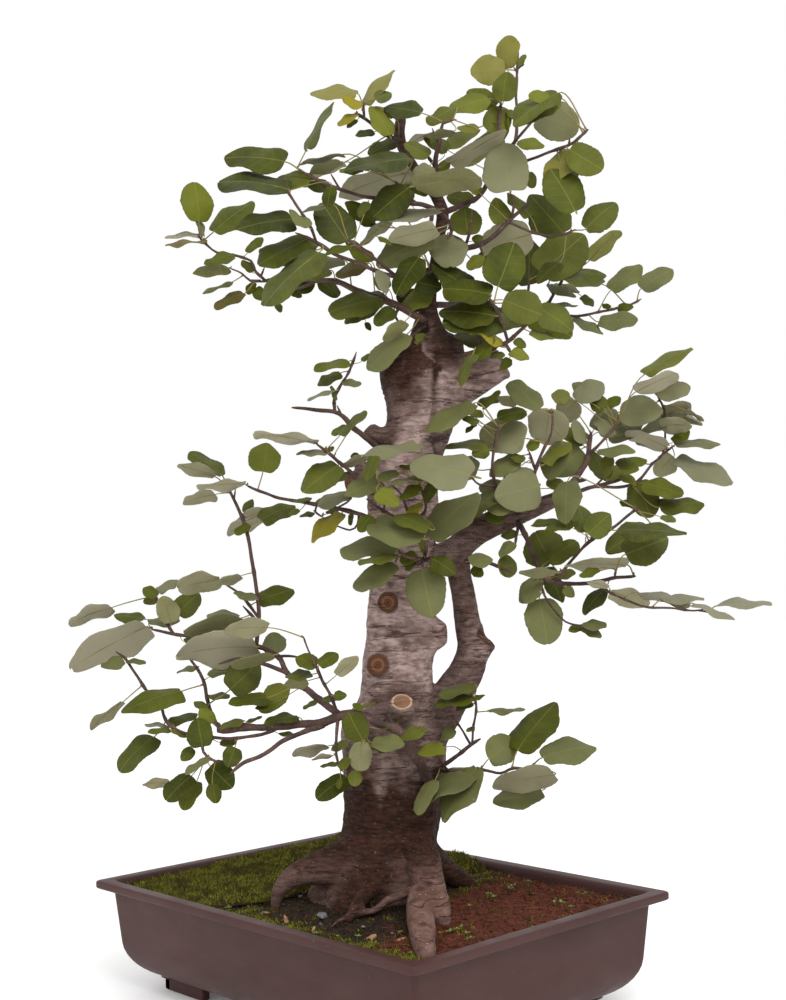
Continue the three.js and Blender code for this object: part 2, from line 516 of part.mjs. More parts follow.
      [66, 841, 30, 849, 18], [98, 845, 71, 832, 15], [72, 799, 49, 812, 15],
      [78, 822, 47, 811, -6], [97, 823, 70, 818, -9], [87, 801, 76, 818, 13],
      [73, 790, 56, 771, 19], [80, 780, 91, 796, 11], [92, 791, 146, 821, -19],
      [58, 770, 121, 779, -23, -22], [120, 823, 100, 827, 10],
    ],
  },
  crownTipSpray: {
    colour: 0x87863a,
    twigs: [
      [
        [44, 815, -10, 3.2], [33, 820, -26, 2.4], [20, 830, -34, 2.1], [10, 838, -38, 1.9],
        [2, 843, -40, 1.2],
      ],
      [[11, 837, -38, 1.3], [10, 852, -42, 1]],
      [[24, 827, -32, 1.4], [24, 838, -38, 1.1]],
    ],
    leaves: [
      [4, 862, -41, 864, 14], [12, 850, 39, 884, 13], [8, 848, -9, 858, 10],
      [4, 842, -15, 832, 8], [4, 836, -6, 829, 5], [20, 824, 2, 821, 8],
      [22, 856, 38, 861, 12], [35, 820, 18, 849, 18, -10], [40, 838, 22, 849, 7, -24],
    ],
  },
  crownRightSpray: {
    colour: 0x66712f,
    twigs: [
      [
        [86, 744, -16, 4], [104, 752, -14, 3.2], [118, 758, -12, 2.9], [130, 775, -5, 2.7],
        [138, 800, 5, 2.5], [140, 820, 11, 2.3], [141, 836, 16, 2], [143, 850, 21, 1.5],
      ],
      [
        [137, 797, 4, 2.1], [152, 806, 13, 2.2], [157, 818, 21, 2.2], [158, 835, 28, 2],
        [158, 858, 38, 1.8], [159, 880, 46, 1.6], [161, 901, 53, 1.3],
      ],
      [[148, 803, 10, 1.7], [163, 820, -12, 1.8], [173, 831, -16, 1.3]],
      [
        [130, 775, -5, 2.2], [150, 787, -22, 2], [165, 792, -37, 1.9], [180, 797, -48, 1.8],
        [195, 802, -60, 1.7], [210, 808, -72, 1.6], [226, 821, -84, 1.3],
      ],
      [[207, 806, -69, 1.5], [208, 813, -72, 1.2]],
      [[118, 758, -12, 1.5], [114, 771, -20, 1.2]],
      [[158, 880, 46, 1.2], [166, 886, 4, 1]],
    ],
    leaves: [
      [131, 853, 92, 844, 19], [150, 882, 150, 913, 23], [148, 881, 115, 881, 27],
      [145, 850, 149, 878, 23], [161, 884, 167, 895, 7], [198, 857, 153, 832, 18],
      [188, 851, 170, 858, 12], [176, 836, 215, 822, 39], [129, 822, 150, 842, 26],
      [158, 811, 183, 805, 12], [166, 780, 172, 766, 13], [207, 802, 238, 782, 30],
      [199, 799, 207, 769, 28], [211, 742, 189, 785, 37], [192, 842, 200, 850, 9],
      [150, 842, 158, 832, 8],
    ],
  },
  crownMidSpray: {
    colour: 0x69753a,
    twigs: [
      [
        [78, 704, -20, 4.6], [100, 708, -30, 3.8], [118, 712, -38, 3.3], [132, 720, -42, 2.9],
        [148, 735, -48, 2.4], [167, 751, -52, 2],
      ],
      [[150, 737, -48, 1.7], [152, 750, -56, 1.4], [149, 762, -60, 1.1]],
      [[104, 709, -31, 1.8], [110, 726, -44, 1.5], [112, 745, -50, 1.1]],
      [[146, 733, -47, 1.5], [172, 722, -50, 1.3], [196, 719, -52, 1.2], [210, 724, -54, 1]],
      [[118, 712, -38, 1.8], [122, 702, -50, 1.3]],
    ],
    leaves: [
      [149, 763, 143, 811, 47], [108, 722, 105, 749, 33], [140, 732, 135, 757, 21],
      [168, 721, 119, 709, -42], [199, 721, 168, 760, 37], [221, 725, 250, 749, 26],
      [122, 700, 106, 690, 13], [112, 716, 122, 720, 8], [222, 724, 238, 722, -6],
      [120, 762, 108, 775, 12],
    ],
  },
  crownFarRightSpray: {
    colour: 0x5f6c30,
    twigs: [
      [
        [74, 655, -20, 4], [100, 655, 10, 3.6], [130, 650, 35, 3.2], [155, 646, 50, 2.8],
        [176, 647, 62, 2.4], [188, 662, 68, 2], [198, 678, 74, 1.4],
      ],
      [[160, 646, 53, 2], [163, 660, 51, 1.7], [165, 678, 50, 1.3]],
      [
        [176, 647, 62, 2], [205, 641, 76, 1.8], [235, 645, 93, 1.6], [262, 651, 109, 1.4],
        [272, 656, 114, 1],
      ],
      [[188, 662, 68, 1.3], [182, 672, 70, 1]],
    ],
    leaves: [
      [176, 683, 219, 719, 43], [223, 694, 252, 722, -17], [190, 680, 239, 681, 14],
      [243, 665, 272, 688, 21], [188, 672, 213, 664, 8], [183, 652, 211, 651, 5],
      [272, 666, 302, 684, 21], [242, 648, 234, 652, 6], [249, 648, 264, 648, 9],
      [165, 672, 166, 716, 27], [215, 660, 226, 650, 9],
    ],
  },
};

// A seeded draw between 0 and 1, the same on every run.
function seededDraw(seed) {
  let state = seed;
  return () => {
    state = (state * 16807) % 2147483647;
    return state / 2147483647;
  };
}

// The place at depth v that shows at u, z on the plane through the pot's middle.
function place([u, z, v]) {
  const slide = 1 - v / viewer.y;
  return new THREE.Vector3()
    .addScaledVector(across, viewer.x + (u - viewer.x) * slide)
    .addScaledVector(away, v)
    .addScaledVector(up, viewer.z + (z - viewer.z) * slide);
}

function surface(points, faces) {
  const geometry = new THREE.BufferGeometry();
  const places = points.flatMap((point) => point.toArray());
  geometry.setAttribute("position", new THREE.Float32BufferAttribute(places, 3));
  geometry.setIndex(faces.flat());
  return geometry;
}

// A closed surface through rings of equal count, capped at both ends.
function loft(rings) {
  const count = rings[0].length;
  const faces = [];
  for (let r = 0; r + 1 < rings.length; r++) {
    for (let i = 0; i < count; i++) {
      const a = r * count + i;
      const b = r * count + ((i + 1) % count);
      faces.push([a, b, b + count], [a, b + count, a + count]);
    }
  }
  const top = (rings.length - 1) * count;
  for (let i = 1; i + 1 < count; i++) {
    faces.push([0, i + 1, i], [top, top + i, top + i + 1]);
  }
  return surface(rings.flat(), faces);
}

function solidOf(geometry) {
  const bare = geometry.clone();
  bare.deleteAttribute("normal");
  bare.deleteAttribute("uv");
  const merged = mergeVertices(bare, 1e-4);
  return new wasm.Manifold(
    new wasm.Mesh({
      numProp: 3,
      vertProperties: merged.attributes.position.array,
      triVerts: new Uint32Array(merged.index.array),
    }),
  );
}

function geometryOf(solid) {
  const mesh = solid.getMesh();
  const geometry = new THREE.BufferGeometry();
  geometry.setAttribute("position", new THREE.BufferAttribute(mesh.vertProperties, 3));
  geometry.setIndex(new THREE.BufferAttribute(mesh.triVerts, 1));
  return geometry;
}

// The largest body of a solid, without scraps that a cut has left.
function mainBody(solid) {
  return solid.decompose().sort((a, b) => b.volume() - a.volume())[0];
}

// A limb: rings round a line of places, square to it, with the radius given at each place.
function limb(rows, sides, grow = 0) {
  const middle = rows.map(place);
  const side = new THREE.Vector3(0.31, 0.52, 0.79);
  const rings = rows.map((row, i) => {
    const before = middle[Math.max(i - 1, 0)];
    const after = middle[Math.min(i + 1, rows.length - 1)];
    const along = after.clone().sub(before).normalize();
    side.addScaledVector(along, -side.dot(along)).normalize();
    const other = new THREE.Vector3().crossVectors(along, side);
    return Array.from({ length: sides }, (_, k) => {
      const turn = (2 * Math.PI * k) / sides;
      return middle[i]
        .clone()
        .addScaledVector(side, (row[3] + grow) * Math.cos(turn))
        .addScaledVector(other, (row[3] + grow) * Math.sin(turn));
    });
  });
  return solidOf(loft(rings));
}

// The trunk's main column: rounded sections, ridged where it runs into the roots.
function column(grow) {
  const sides = 12;
  const rings = trunkRows.map(([z, left, right]) => {
    const middle = place([(left + right) / 2, z, trunkDepth]);
    const radius = (right - left) / 2 + grow;
    const ridge = 0.17 * THREE.MathUtils.clamp((170 - z) / 80, 0, 1) + 0.02;
    return Array.from({ length: sides }, (_, k) => {
      const turn = (2 * Math.PI * k) / sides;
      const reach = radius * (1 - ridge * (0.5 + 0.5 * Math.cos(5 * turn + z / 160)));
      return middle
        .clone()
        .addScaledVector(across, reach * Math.cos(turn))
        .addScaledVector(away, 0.92 * reach * Math.sin(turn));
    });
  });
  return solidOf(loft(rings));
}

function trunkSolid(grow = 0) {
  const parts = Object.values(limbs).map((rows) => limb(rows, rows[0][3] > 9 ? 7 : 5, grow));
  return mainBody(wasm.Manifold.union([column(grow), ...parts]));
}

// One half of a blade's outline from base to tip, as shares of its length and width: fuller
// for the longer blades.
const halves = [
  [48, [[0, 0.28], [0.36, 0.5], [0.76, 0.29]]],
  [26, [[0.12, 0.42], [0.62, 0.42]]],
  [0, [[0.42, 0.5]]],
];

// The place on a spray's twigs that a leaf grows from: near its base and behind it, as seen
// from the front.
function stemRoot(twigs, [ub, zb, ut, zt], taken) {
  const reach = Math.hypot(ut - ub, zt - zb);
  let best = { cost: Infinity };
  for (const rows of twigs) {
    for (let i = 0; i + 1 < rows.length; i++) {
      const [a, b] = [rows[i], rows[i + 1]];
      const run = Math.hypot(b[0] - a[0], b[1] - a[1], b[2] - a[2]);
      for (let step = 0; step <= 8; step++) {
        const share = (step / 8) * (1 - 1.6 / run);
        const at = a.map((value, k) => value + (b[k] - value) * share);
        const [du, dz] = [ub - at[0], zb - at[1]];
        const distance = Math.hypot(du, dz) + 0.01;
        const behind = (du * (ut - ub) + dz * (zt - zb)) / (distance * reach);
        const gaps = taken.map((other) => Math.hypot(...other.map((value, k) => value - at[k])));
        const crowd = gaps.filter((run) => run < leastStemGap).length;
        const cost = (distance + 3) * (1.5 - behind) + 5 * crowd;
        if (cost < best.cost) best = { cost, at };
      }
    }
  }
  taken.push(best.at.slice(0, 3));
  return best.at;
}

// A leaf's own figures, worked out from what shows of it: its true length and width, how far
// it leans to or from the front and how far it rolls.
function leafPose(row, twigs, draw, taken) {
  const [ub, zb, ut, zt, shown, shift = 0] = row;
  const root = stemRoot(twigs, row, taken);
  const seen = Math.hypot(ut - ub, zt - zb);
  const length = Math.max(seen * 1.04, Math.abs(shown) * bladeAspect);
  const width = length / bladeAspect;
  const backward = (zt - zb) * shown > 0 ? 1 : -1;
  return {
    root,
    row,
    length,
    width,
    lean: backward * Math.acos(Math.min(seen / length, 1)),
    roll: Math.acos(Math.min(Math.abs(shown) / width, 1)),
    depth: root[2] + (draw() - 0.5) * 24 + shift,
    fold: 0.08 + 0.14 * draw(),
    droop: 0.08 + 0.14 * draw(),
    wave: 6.28 * draw(),
  };
}

// A leaf's frame at its depth: base, the direction of its midrib, the direction across the
// blade and the direction its upper side faces, which is the one nearer the sky. It is turned
// against the line from the viewer to its base.
function leafFrame(pose, shift) {
  const [ub, zb, ut, zt, shown] = pose.row;
  const depth = pose.depth + shift;
  const scale = 1 - depth / viewer.y;
  const angle = Math.atan2(zt - zb, ut - ub);
  const base = place([ub, zb, depth]);
  const sight = base.clone().sub(eye).normalize();
  const right = new THREE.Vector3().crossVectors(sight, up).normalize();
  const above = new THREE.Vector3().crossVectors(right, sight);
  const axis = new THREE.Vector3()
    .addScaledVector(right, Math.cos(angle) * Math.cos(pose.lean))
    .addScaledVector(above, Math.sin(angle) * Math.cos(pose.lean))
    .addScaledVector(sight, Math.sin(pose.lean));
  const side = new THREE.Vector3().crossVectors(axis, sight).normalize();
  const facing = new THREE.Vector3().crossVectors(side, axis).normalize();
  if (facing.dot(sight) * shown > 0) facing.negate();
  const rolled = [pose.roll, -pose.roll].map((roll) =>
    facing.clone().multiplyScalar(Math.cos(roll)).addScaledVector(side, Math.sin(roll)),
  );
  const normal = rolled[0].z > rolled[1].z ? rolled[0] : rolled[1];
  return {
    base,
    stem: place(pose.root),
    axis,
    normal,
    cross: new THREE.Vector3().crossVectors(normal, axis),
    length: pose.length * scale,
    width: pose.width * scale,
    pose,
  };
}

// How far the blade rises from its flat at a share s of its length and w of its width.
function bladeRise({ length, width, pose }, s, w) {
  const ripple = 0.07 * Math.abs(w) * Math.sin(9 * s + pose.wave + (w > 0 ? 2 : 0));
  return pose.fold * Math.abs(w) * width - pose.droop * length * s * Math.abs(s) + ripple * length;
}

function bladePlace(frame, s, w) {
  return frame.base
    .clone()
    .addScaledVector(frame.axis, s * frame.length)
    .addScaledVector(frame.cross, w * frame.width)
    .addScaledVector(frame.normal, bladeRise(frame, s, w));
}

// A leaf as one thin plate whose two faces are split alike. Its stem narrows to an edge inside
// the twig, square to its own run, so that it keeps its thickness.
function leafSolid(frame) {
  const half = halves.find(([least]) => frame.pose.length >= least)[1];
  const { base, stem, axis, normal, cross } = frame;
  const stemWay = stem.clone().sub(base).normalize();
  const notch = new THREE.Vector3().crossVectors(stemWay, normal);
  if (notch.length() < 0.15) notch.copy(cross);
  notch.normalize();
  if (notch.dot(cross) < -0.3) notch.negate();
  const stemNormal = new THREE.Vector3().crossVectors(notch, stemWay).normalize();
  const bend = stemNormal.clone().add(normal).addScaledVector(axis, -0.2).normalize();
  bend.divideScalar(Math.max(bend.dot(normal), 0.6));
  const shares = [...half, [1, 0], ...half.map(([s, w]) => [s, -w]).reverse()];
  const plan = [
    stem,
    base.clone().addScaledVector(notch, petioleHalf),
    ...shares.map(([s, w]) => bladePlace(frame, s, w)),
    base.clone().addScaledVector(notch, -petioleHalf),
  ];
  const last = plan.length - 1;
  const cupped = frame.pose.length >= cuppedLeaf;
  if (cupped) plan.push(bladePlace(frame, 0.46, 0));
  const lift = plan.map(() => normal);
  lift[0] = stemNormal;
  lift[1] = bend;
  lift[last] = bend;
  const upper = plan.map((point, i) => point.clone().addScaledVector(lift[i], bladeThickness / 2));
  const lower = plan.map((point, i) => point.clone().addScaledVector(lift[i], -bladeThickness / 2));
  const count = plan.length;
  const rim = Array.from({ length: last + 1 }, (_, i) => i);
  const fan = rim.slice(1, -1).map((a) => [cupped ? last + 1 : 1, a, a + 1]);
  if (cupped) fan.push([last + 1, last, 1]);
  else fan.shift();
  const faces = [[0, 1, last], ...fan].flatMap(([a, b, c]) => [
    [a, c, b],
    [a + count, b + count, c + count],
  ]);
  rim.forEach((a, i) => {
    const b = rim[(i + 1) % rim.length];
    faces.push([a, b, b + count], [a, b + count, a + count]);
  });
  return solidOf(surface([...upper, ...lower], faces));
}

// Points over a blade and along a stem that a clearance is measured from, with the neighbour
// each is joined to.
function bladePoints(frame) {
  const points = [];
  for (let i = 0; i <= 6; i++) {
    const s = -0.04 + (1.04 * i) / 6;
    const reach = Math.max(0.5 * Math.sqrt(Math.max(1 - (2 * s - 0.92) ** 2, 0)), 0.02);
    for (let k = -2; k <= 2; k++) points.push(bladePlace(frame, s, (k / 2) * reach));
  }
  return points;
}

const bladeLinks = [];
for (let i = 0; i < 7; i++) {
  for (let k = 0; k < 5; k++) {
    if (k < 4) bladeLinks.push([i * 5 + k, i * 5 + k + 1]);
    if (i < 6) bladeLinks.push([i * 5 + k, i * 5 + k + 5]);
  }
}

// A place in a blade's own terms: share of length, share of width and height off its face.
function inBlade(frame, point) {
  const offset = point.clone().sub(frame.base);
  const s = offset.dot(frame.axis) / frame.length;
  const w = offset.dot(frame.cross) / frame.width;
  const face = bladeRise(frame, THREE.MathUtils.clamp(s, -0.1, 1.1), w);
  return { s, w, height: offset.dot(frame.normal) - face };
}

function overBlade(frame, { s, w }, margin) {
  const [ds, dw] = [margin / frame.length, margin / frame.width];
  const along = (s - 0.47) / (0.53 + ds);
  return along * along + (w / (0.5 + dw)) ** 2 < 1;
}

// How many of a blade's points and links come too near another blade.
function bladeClashes(frame, points) {
  const found = points.map((point) => inBlade(frame, point));
  const near = found.filter((at) => Math.abs(at.height) < keepApart && overBlade(frame, at, 1));
  const through = bladeLinks.filter(([i, k]) => {
    const [a, b] = [found[i], found[k]];
    if (a.height * b.height >= 0) return false;
    const t = a.height / (a.height - b.height);
    return overBlade(frame, { s: a.s + (b.s - a.s) * t, w: a.w + (b.w - a.w) * t }, 1);
  });
  return near.length + through.length;
}

// How many of the wooden places come too near a blade. The leaf's own twig is let off near
// the blade's base.
function woodClashes(frame, wood, node) {
  return wood.filter(({ at, radius, owner }) => {
    const inside = inBlade(frame, at);
    const far = Math.abs(inside.height) > radius + keepApart;
    if (far || !overBlade(frame, inside, radius + 0.6)) return false;
    return owner !== node || inside.s * frame.length > baseReach;
  }).length;
}

// How many places of a leaf's stem come too near the trunk.
function stemClashes(stem, wood) {
  return stem.filter((own) =>
    wood.some(({ at, radius, owner }) => owner === "trunk" && at.distanceTo(own.at) < radius + 1.6),
  ).length;
}

function woodPlaces(rows, owner) {
  const places = [];
  for (let i = 0; i + 1 < rows.length; i++) {
    const [a, b] = [rows[i], rows[i + 1]];
    const run = Math.hypot(b[0] - a[0], b[1] - a[1], b[2] - a[2]);
    const steps = Math.ceil(run / Math.max(2.5, a[3] * 0.7));
    for (let k = 0; k <= steps; k++) {
      const row = a.map((value, j) => value + ((b[j] - value) * k) / steps);
      places.push({ at: place(row), radius: row[3], owner });
    }
  }
  return places;
}

// Each leaf takes the depth nearest its own at which it is clear of the wood and of the
// leaves set before it.
function setLeaves() {
  const wood = Object.entries(sprays).flatMap(([name, { twigs }]) =>
    twigs.flatMap((rows) => woodPlaces(rows, name)),
  );
  for (const rows of Object.values(limbs)) wood.push(...woodPlaces(rows, "trunk"));
  const core = trunkRows.map(([z, left, right]) => {
    return [(left + right) / 2, z, trunkDepth, (right - left) / 2];
  });
  wood.push(...woodPlaces(core, "trunk"));
  const set = [];
  const draw = seededDraw(2718281);
  for (const [name, { twigs, leaves }] of Object.entries(sprays)) {
    const taken = [];
    for (const row of leaves) {
      const pose = leafPose(row, twigs, draw, taken);
      const tries = depthTries.map((shift) => {
        const frame = leafFrame(pose, shift);
        const points = bladePoints(frame);
        const middle = points[17];
        const size = frame.length * 0.62;
        const others = set.filter((other) => {
          return other.middle.distanceTo(middle) < size + other.size + 4;
        });
        const near = wood.filter(({ at, radius }) => at.distanceTo(middle) < size + radius + 4);
        const start = [...pose.root.slice(0, 3), petioleHalf];
        const end = [row[0], row[1], pose.depth + shift, petioleHalf];
        const stem = woodPlaces([start, end], name);
        const free = stem.slice(1);
        let clashes = 3 * woodClashes(frame, near, name) + 3 * stemClashes(free, near);
        for (const other of others) {
          clashes += bladeClashes(frame, other.points) + bladeClashes(other.frame, points);
          clashes += woodClashes(frame, other.stem, null) + woodClashes(other.frame, free, null);
        }
        return { name, frame, points, middle, size, clashes, stem: stem.slice(0, -1) };
      });
      const clear = tries.find((leaf) => leaf.clashes === 0);
      if (pose.length >= leastLeaf) set.push(clear ?? tries.sort((a, b) => a.clashes - b.clashes)[0]);
    }
  }
  return set;
}

// A rounded rectangle's ring, three places to a corner.
function ring(halfX, halfY, radius, z) {
  const corners = [[1, 1], [-1, 1], [-1, -1], [1, -1]];
  return corners.flatMap(([sx, sy], quarter) =>
    [0, 1, 2].map((step) => {
      const turn = (quarter + step / 2) * (Math.PI / 2);
      return new THREE.Vector3(
        sx * (halfX - radius) + radius * Math.cos(turn),
        sy * (halfY - radius) + radius * Math.sin(turn),
        z,
      );
    }),
  );
}

// Half the body's length at a height, measured outside: sloping walls over a curved-in bottom.
function bodyInset(z) {
  const underLip = potHeight - lipHeight;
  const slope = wallSlope * (underLip - z);
  const curve = THREE.MathUtils.clamp(1 - (z - footHeight) / bottomRise, 0, 1);
  const share = (1 - Math.sqrt(1 - 0.98 * curve * curve)) / (1 - Math.sqrt(0.02));
  return lipOverhang + slope + bottomCurve * share;
}

function bodyRing(z, inward, height = z) {
  const inset = bodyInset(z) + inward;
  const radius = potCorner + Math.max(bodyInset(z) - 18, 0) * 0.3 - inward * 0.4;
  return ring(potLength / 2 - inset, potWidth / 2 - inset, Math.max(radius, 1.5), height);
}

// The heights of the rings that the pot's bottom is bent through.
const bottomHeights = [0, 0.12, 0.36, 1].map((t) => footHeight + t * bottomRise);

// The height of the wall's inner side opposite a height of its outer side.
function innerHeight(z) {
  return z + (wallThickness * (footHeight + bottomRise - z)) / bottomRise;
}

function potSolid() {
  const [l, w] = [potLength / 2, potWidth / 2];
  const underLip = potHeight - lipHeight;
  const rings = [
    ...bottomHeights.map((z) => bodyRing(z, 0)),
    bodyRing(underLip, 0),
    ring(l - lipEdge, w - lipEdge, potCorner, underLip),
    ring(l, w, potCorner, underLip + lipEdge),
    ring(l, w, potCorner, potHeight - lipEdge),
    ring(l - lipEdge, w - lipEdge, potCorner, potHeight),
    ring(l - rimWidth, w - rimWidth, potCorner, potHeight),
    ring(l - rimWidth - 2.6, w - rimWidth - 2.6, potCorner, potHeight - 1.4),
    bodyRing(underLip, wallThickness, potHeight - 5),
    ...[...bottomHeights].reverse().map((z) => bodyRing(z, wallThickness, innerHeight(z))),
  ];
  const drains = [[1, 1], [1, -1], [-1, 1], [-1, -1]].map(([sx, sy]) => {
    const circle = (z) =>
      Array.from({ length: 8 }, (_, k) => {
        const turn = (k * Math.PI) / 4;
        return new THREE.Vector3(
          sx * drainX + drainRadius * Math.cos(turn),
          sy * drainY + drainRadius * Math.sin(turn),
          z,
        );
      });
    return solidOf(loft([circle(0), circle(footHeight + 10)]));
  });
  const feet = [[1, 1], [1, -1], [-1, 1], [-1, -1]].flatMap(([sx, sy]) => {
    const [x, y] = [l - footInset, w - footInset];
    const long = new THREE.BoxGeometry(footLength, footThickness, footHeight + 1);
    long.translate(sx * (x - footLength / 2), sy * (y - footThickness / 2), (footHeight + 1) / 2);
    const short = new THREE.BoxGeometry(footThickness, footLength * 0.8, footHeight + 1);
    short.translate(sx * (x - footThickness / 2), sy * (y - footLength * 0.4), (footHeight + 1) / 2);
    return [solidOf(long), solidOf(short)];
  });
  return wasm.Manifold.union([solidOf(loft(rings)), ...feet]).subtract(wasm.Manifold.union(drains));
}

// The soil's height: nearly level, mounded at the trunk and under the moss.
function soilHeight(x, y) {
  const atTrunk = Math.exp(-(((x - 31) / 78) ** 2) - ((y + 2) / 74) ** 2);
  const atMoss = Math.exp(-(((x + 112) / 72) ** 2) - ((y - 32) / 84) ** 2);
  const uneven = Math.sin(x / 23 + 1.3) * Math.cos(y / 19) + 0.7 * Math.sin(x / 11 - y / 14);
  return soilTop + soilMound * atTrunk + mossRise * 0.7 * atMoss + 0.9 * uneven;
}

function grid(nx, ny, at) {
  const count = (nx + 1) * (ny + 1);
  return Array.from({ length: count }, (_, k) => at(k % (nx + 1), Math.floor(k / (nx + 1))));
}

// A slab between two sheets of places on the same grid.
function slab(nx, ny, upper, lower) {
  const count = upper.length;
  const faces = [];
  for (let j = 0; j < ny; j++) {
    for (let i = 0; i < nx; i++) {
      const a = j * (nx + 1) + i;
      const c = a + nx + 2;
      faces.push([a, a + 1, c], [a, c, a + nx + 1]);
      faces.push([a + count, c + count, a + 1 + count], [a + count, a + nx + 1 + count, c + count]);
    }
  }
  const edge = [
    ...Array.from({ length: nx }, (_, i) => i),
    ...Array.from({ length: ny }, (_, j) => nx + j * (nx + 1)),
    ...Array.from({ length: nx }, (_, i) => ny * (nx + 1) + nx - i),
    ...Array.from({ length: ny }, (_, j) => (ny - j) * (nx + 1)),
  ];
  edge.forEach((a, i) => {
    const b = edge[(i + 1) % edge.length];
    faces.push([a, a + count, b + count], [a, b + count, b]);
  });
  return solidOf(surface([...upper, ...lower], faces));
}

function soilSolid(hole) {
  const inward = wallThickness + gap;
  const cavity = solidOf(
    loft([
      ...bottomHeights.map((z) => bodyRing(z, inward, innerHeight(z) + gap)),
      bodyRing(potHeight - lipHeight, inward + 0.3, potHeight + 14),
    ]),
  );
  const [nx, ny] = [11, 8];
  const at = (z) => (i, j) => {
    const [x, y] = [(i / nx - 0.5) * 430, (j / ny - 0.5) * 310];
    return new THREE.Vector3(x, y, z ?? soilHeight(x, y));
  };
  const field = slab(nx, ny, grid(nx, ny, at()), grid(nx, ny, at(5)));
  return mainBody(field.intersect(cavity).subtract(hole));
}

// Where the moss mat ends on its right, across the pot.
function mossEdge(y) {
  const t = y / 148;
  return -14 + 42 * Math.sin(1.35 * t + 0.1) - 16 * t * t + 5 * Math.sin(9 * t);
}

function mossSolid(hole) {
  const [nx, ny] = [7, 9];
  const side = potWidth / 2 - lipOverhang - wallThickness - 1.4;
  const left = -(potLength / 2 - lipOverhang - wallThickness - 1.4);
  const flat = (i, j) => {
    const y = (j / ny - 0.5) * 2 * side;
    const corner = Math.max(Math.abs(y) - side + 4, 0) * 0.7;
    const x = left + corner + (mossEdge(y) - left - corner) * (i / nx);
    return [x, y];
  };
  const lower = (i, j) => {
    const [x, y] = flat(i, j);
    return new THREE.Vector3(x, y, soilHeight(x, y) + 1.5);
  };
  const upper = (i, j) => {
    const rim = Math.min(i, nx - i, j, ny - j);
    const lumps = Math.sin(2.1 * i + 0.4 * j) * Math.cos(1.7 * j - 0.3 * i);
    const thick = 1.6 + [0, 2.4, 3.6, 4.2][Math.min(rim, 3)] + 1.1 * lumps * Math.min(rim, 1);
    return lower(i, j).add(new THREE.Vector3(0, 0, thick));
  };
  return mainBody(slab(nx, ny, grid(nx, ny, upper), grid(nx, ny, lower)).subtract(hole));
}

// Twigs have three to five sides by their radius.
function twigSides(radius) {
  if (radius > 4) return 5;
  return radius > 2.3 ? 4 : 3;
}

function spraySolid(name, leaves, hole) {
  const twigs = sprays[name].twigs.map((rows) => limb(rows, twigSides(rows[0][3])));
  const blades = leaves.map((leaf) => leafSolid(leaf.frame));
  return mainBody(wasm.Manifold.union([...twigs, ...blades]).subtract(hole));
}

const materials = {
  pot: { color: 0x4b3e3c, roughness: 0.55 },
  soil: { color: 0x5a2f20, roughness: 1 },
  moss: { color: 0x55641f, roughness: 1 },
  trunk: { color: 0x6f5a52, roughness: 0.9 },
};

function mesh(name, solid, material) {
  const made = new THREE.Mesh(geometryOf(solid), new THREE.MeshStandardMaterial(material));
  made.name = name;
  return made;
}

const trunk = trunkSolid();
const hole = trunkSolid(gap);
const leaves = setLeaves();
const tree = new THREE.Group();
tree.name = "italianAlderBonsai";
tree.add(
  mesh("pot", potSolid(), materials.pot),
  mesh("soil", soilSolid(hole), materials.soil),
  mesh("moss", mossSolid(hole), materials.moss),
  mesh("trunk", trunk, materials.trunk),
  ...Object.entries(sprays).map(([name, { colour }]) => {
    const own = leaves.filter((leaf) => leaf.name === name);
    return mesh(name, spraySolid(name, own, hole), { color: colour, roughness: 0.6 });
  }),
);

// The origin is the middle of the whole, under its feet.
const bounds = new THREE.Box3().setFromObject(tree);
const middle = bounds.getCenter(new THREE.Vector3());
tree.children.forEach((child) => child.geometry.translate(-middle.x, -middle.y, -bounds.min.z));

export default tree;
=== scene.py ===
import bpy
import numpy as np
from mathutils import Matrix, Vector
from mathutils.geometry import tessellate_polygon
from mathutils.kdtree import KDTree


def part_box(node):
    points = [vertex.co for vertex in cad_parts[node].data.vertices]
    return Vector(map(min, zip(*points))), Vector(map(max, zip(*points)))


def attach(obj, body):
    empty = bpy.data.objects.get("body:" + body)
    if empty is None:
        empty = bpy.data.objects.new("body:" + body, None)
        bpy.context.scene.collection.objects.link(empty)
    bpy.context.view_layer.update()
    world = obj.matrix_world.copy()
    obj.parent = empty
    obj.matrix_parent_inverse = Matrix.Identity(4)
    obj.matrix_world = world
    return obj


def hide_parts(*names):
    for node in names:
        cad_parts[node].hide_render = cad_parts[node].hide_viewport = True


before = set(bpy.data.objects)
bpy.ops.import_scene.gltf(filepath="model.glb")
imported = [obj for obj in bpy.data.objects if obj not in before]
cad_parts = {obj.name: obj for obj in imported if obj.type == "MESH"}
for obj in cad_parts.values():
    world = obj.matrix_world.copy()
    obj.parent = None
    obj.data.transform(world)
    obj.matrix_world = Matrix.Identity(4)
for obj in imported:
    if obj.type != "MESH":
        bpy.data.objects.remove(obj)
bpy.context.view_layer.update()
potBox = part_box("pot")
potMiddle = np.array([potBox[0][0] + potBox[1][0], potBox[0][1] + potBox[1][1], 2 * potBox[0][2]]) * 500
print("frame loaded")

# The front view that all rows below are given in: u right, z up, v away from the viewer, in mm.
viewer = np.array([29.4, -1380.2, 418.4])
frontYaw = np.radians(46.68)
across = np.array([np.cos(frontYaw), np.sin(frontYaw), 0.0])
away = np.array([-np.sin(frontYaw), np.cos(frontYaw), 0.0])
up = np.array([0.0, 0.0, 1.0])


# Apparent places become real ones: what lies further away is spread from the viewer's line of sight.
def place(rows):
    u, z, v = rows[..., 0:1], rows[..., 1:2], rows[..., 2:3]
    slide = 1 - v / viewer[1]
    level = across * (viewer[0] + (u - viewer[0]) * slide) + away * v
    return potMiddle + level + up * (viewer[2] + (z - viewer[2]) * slide)


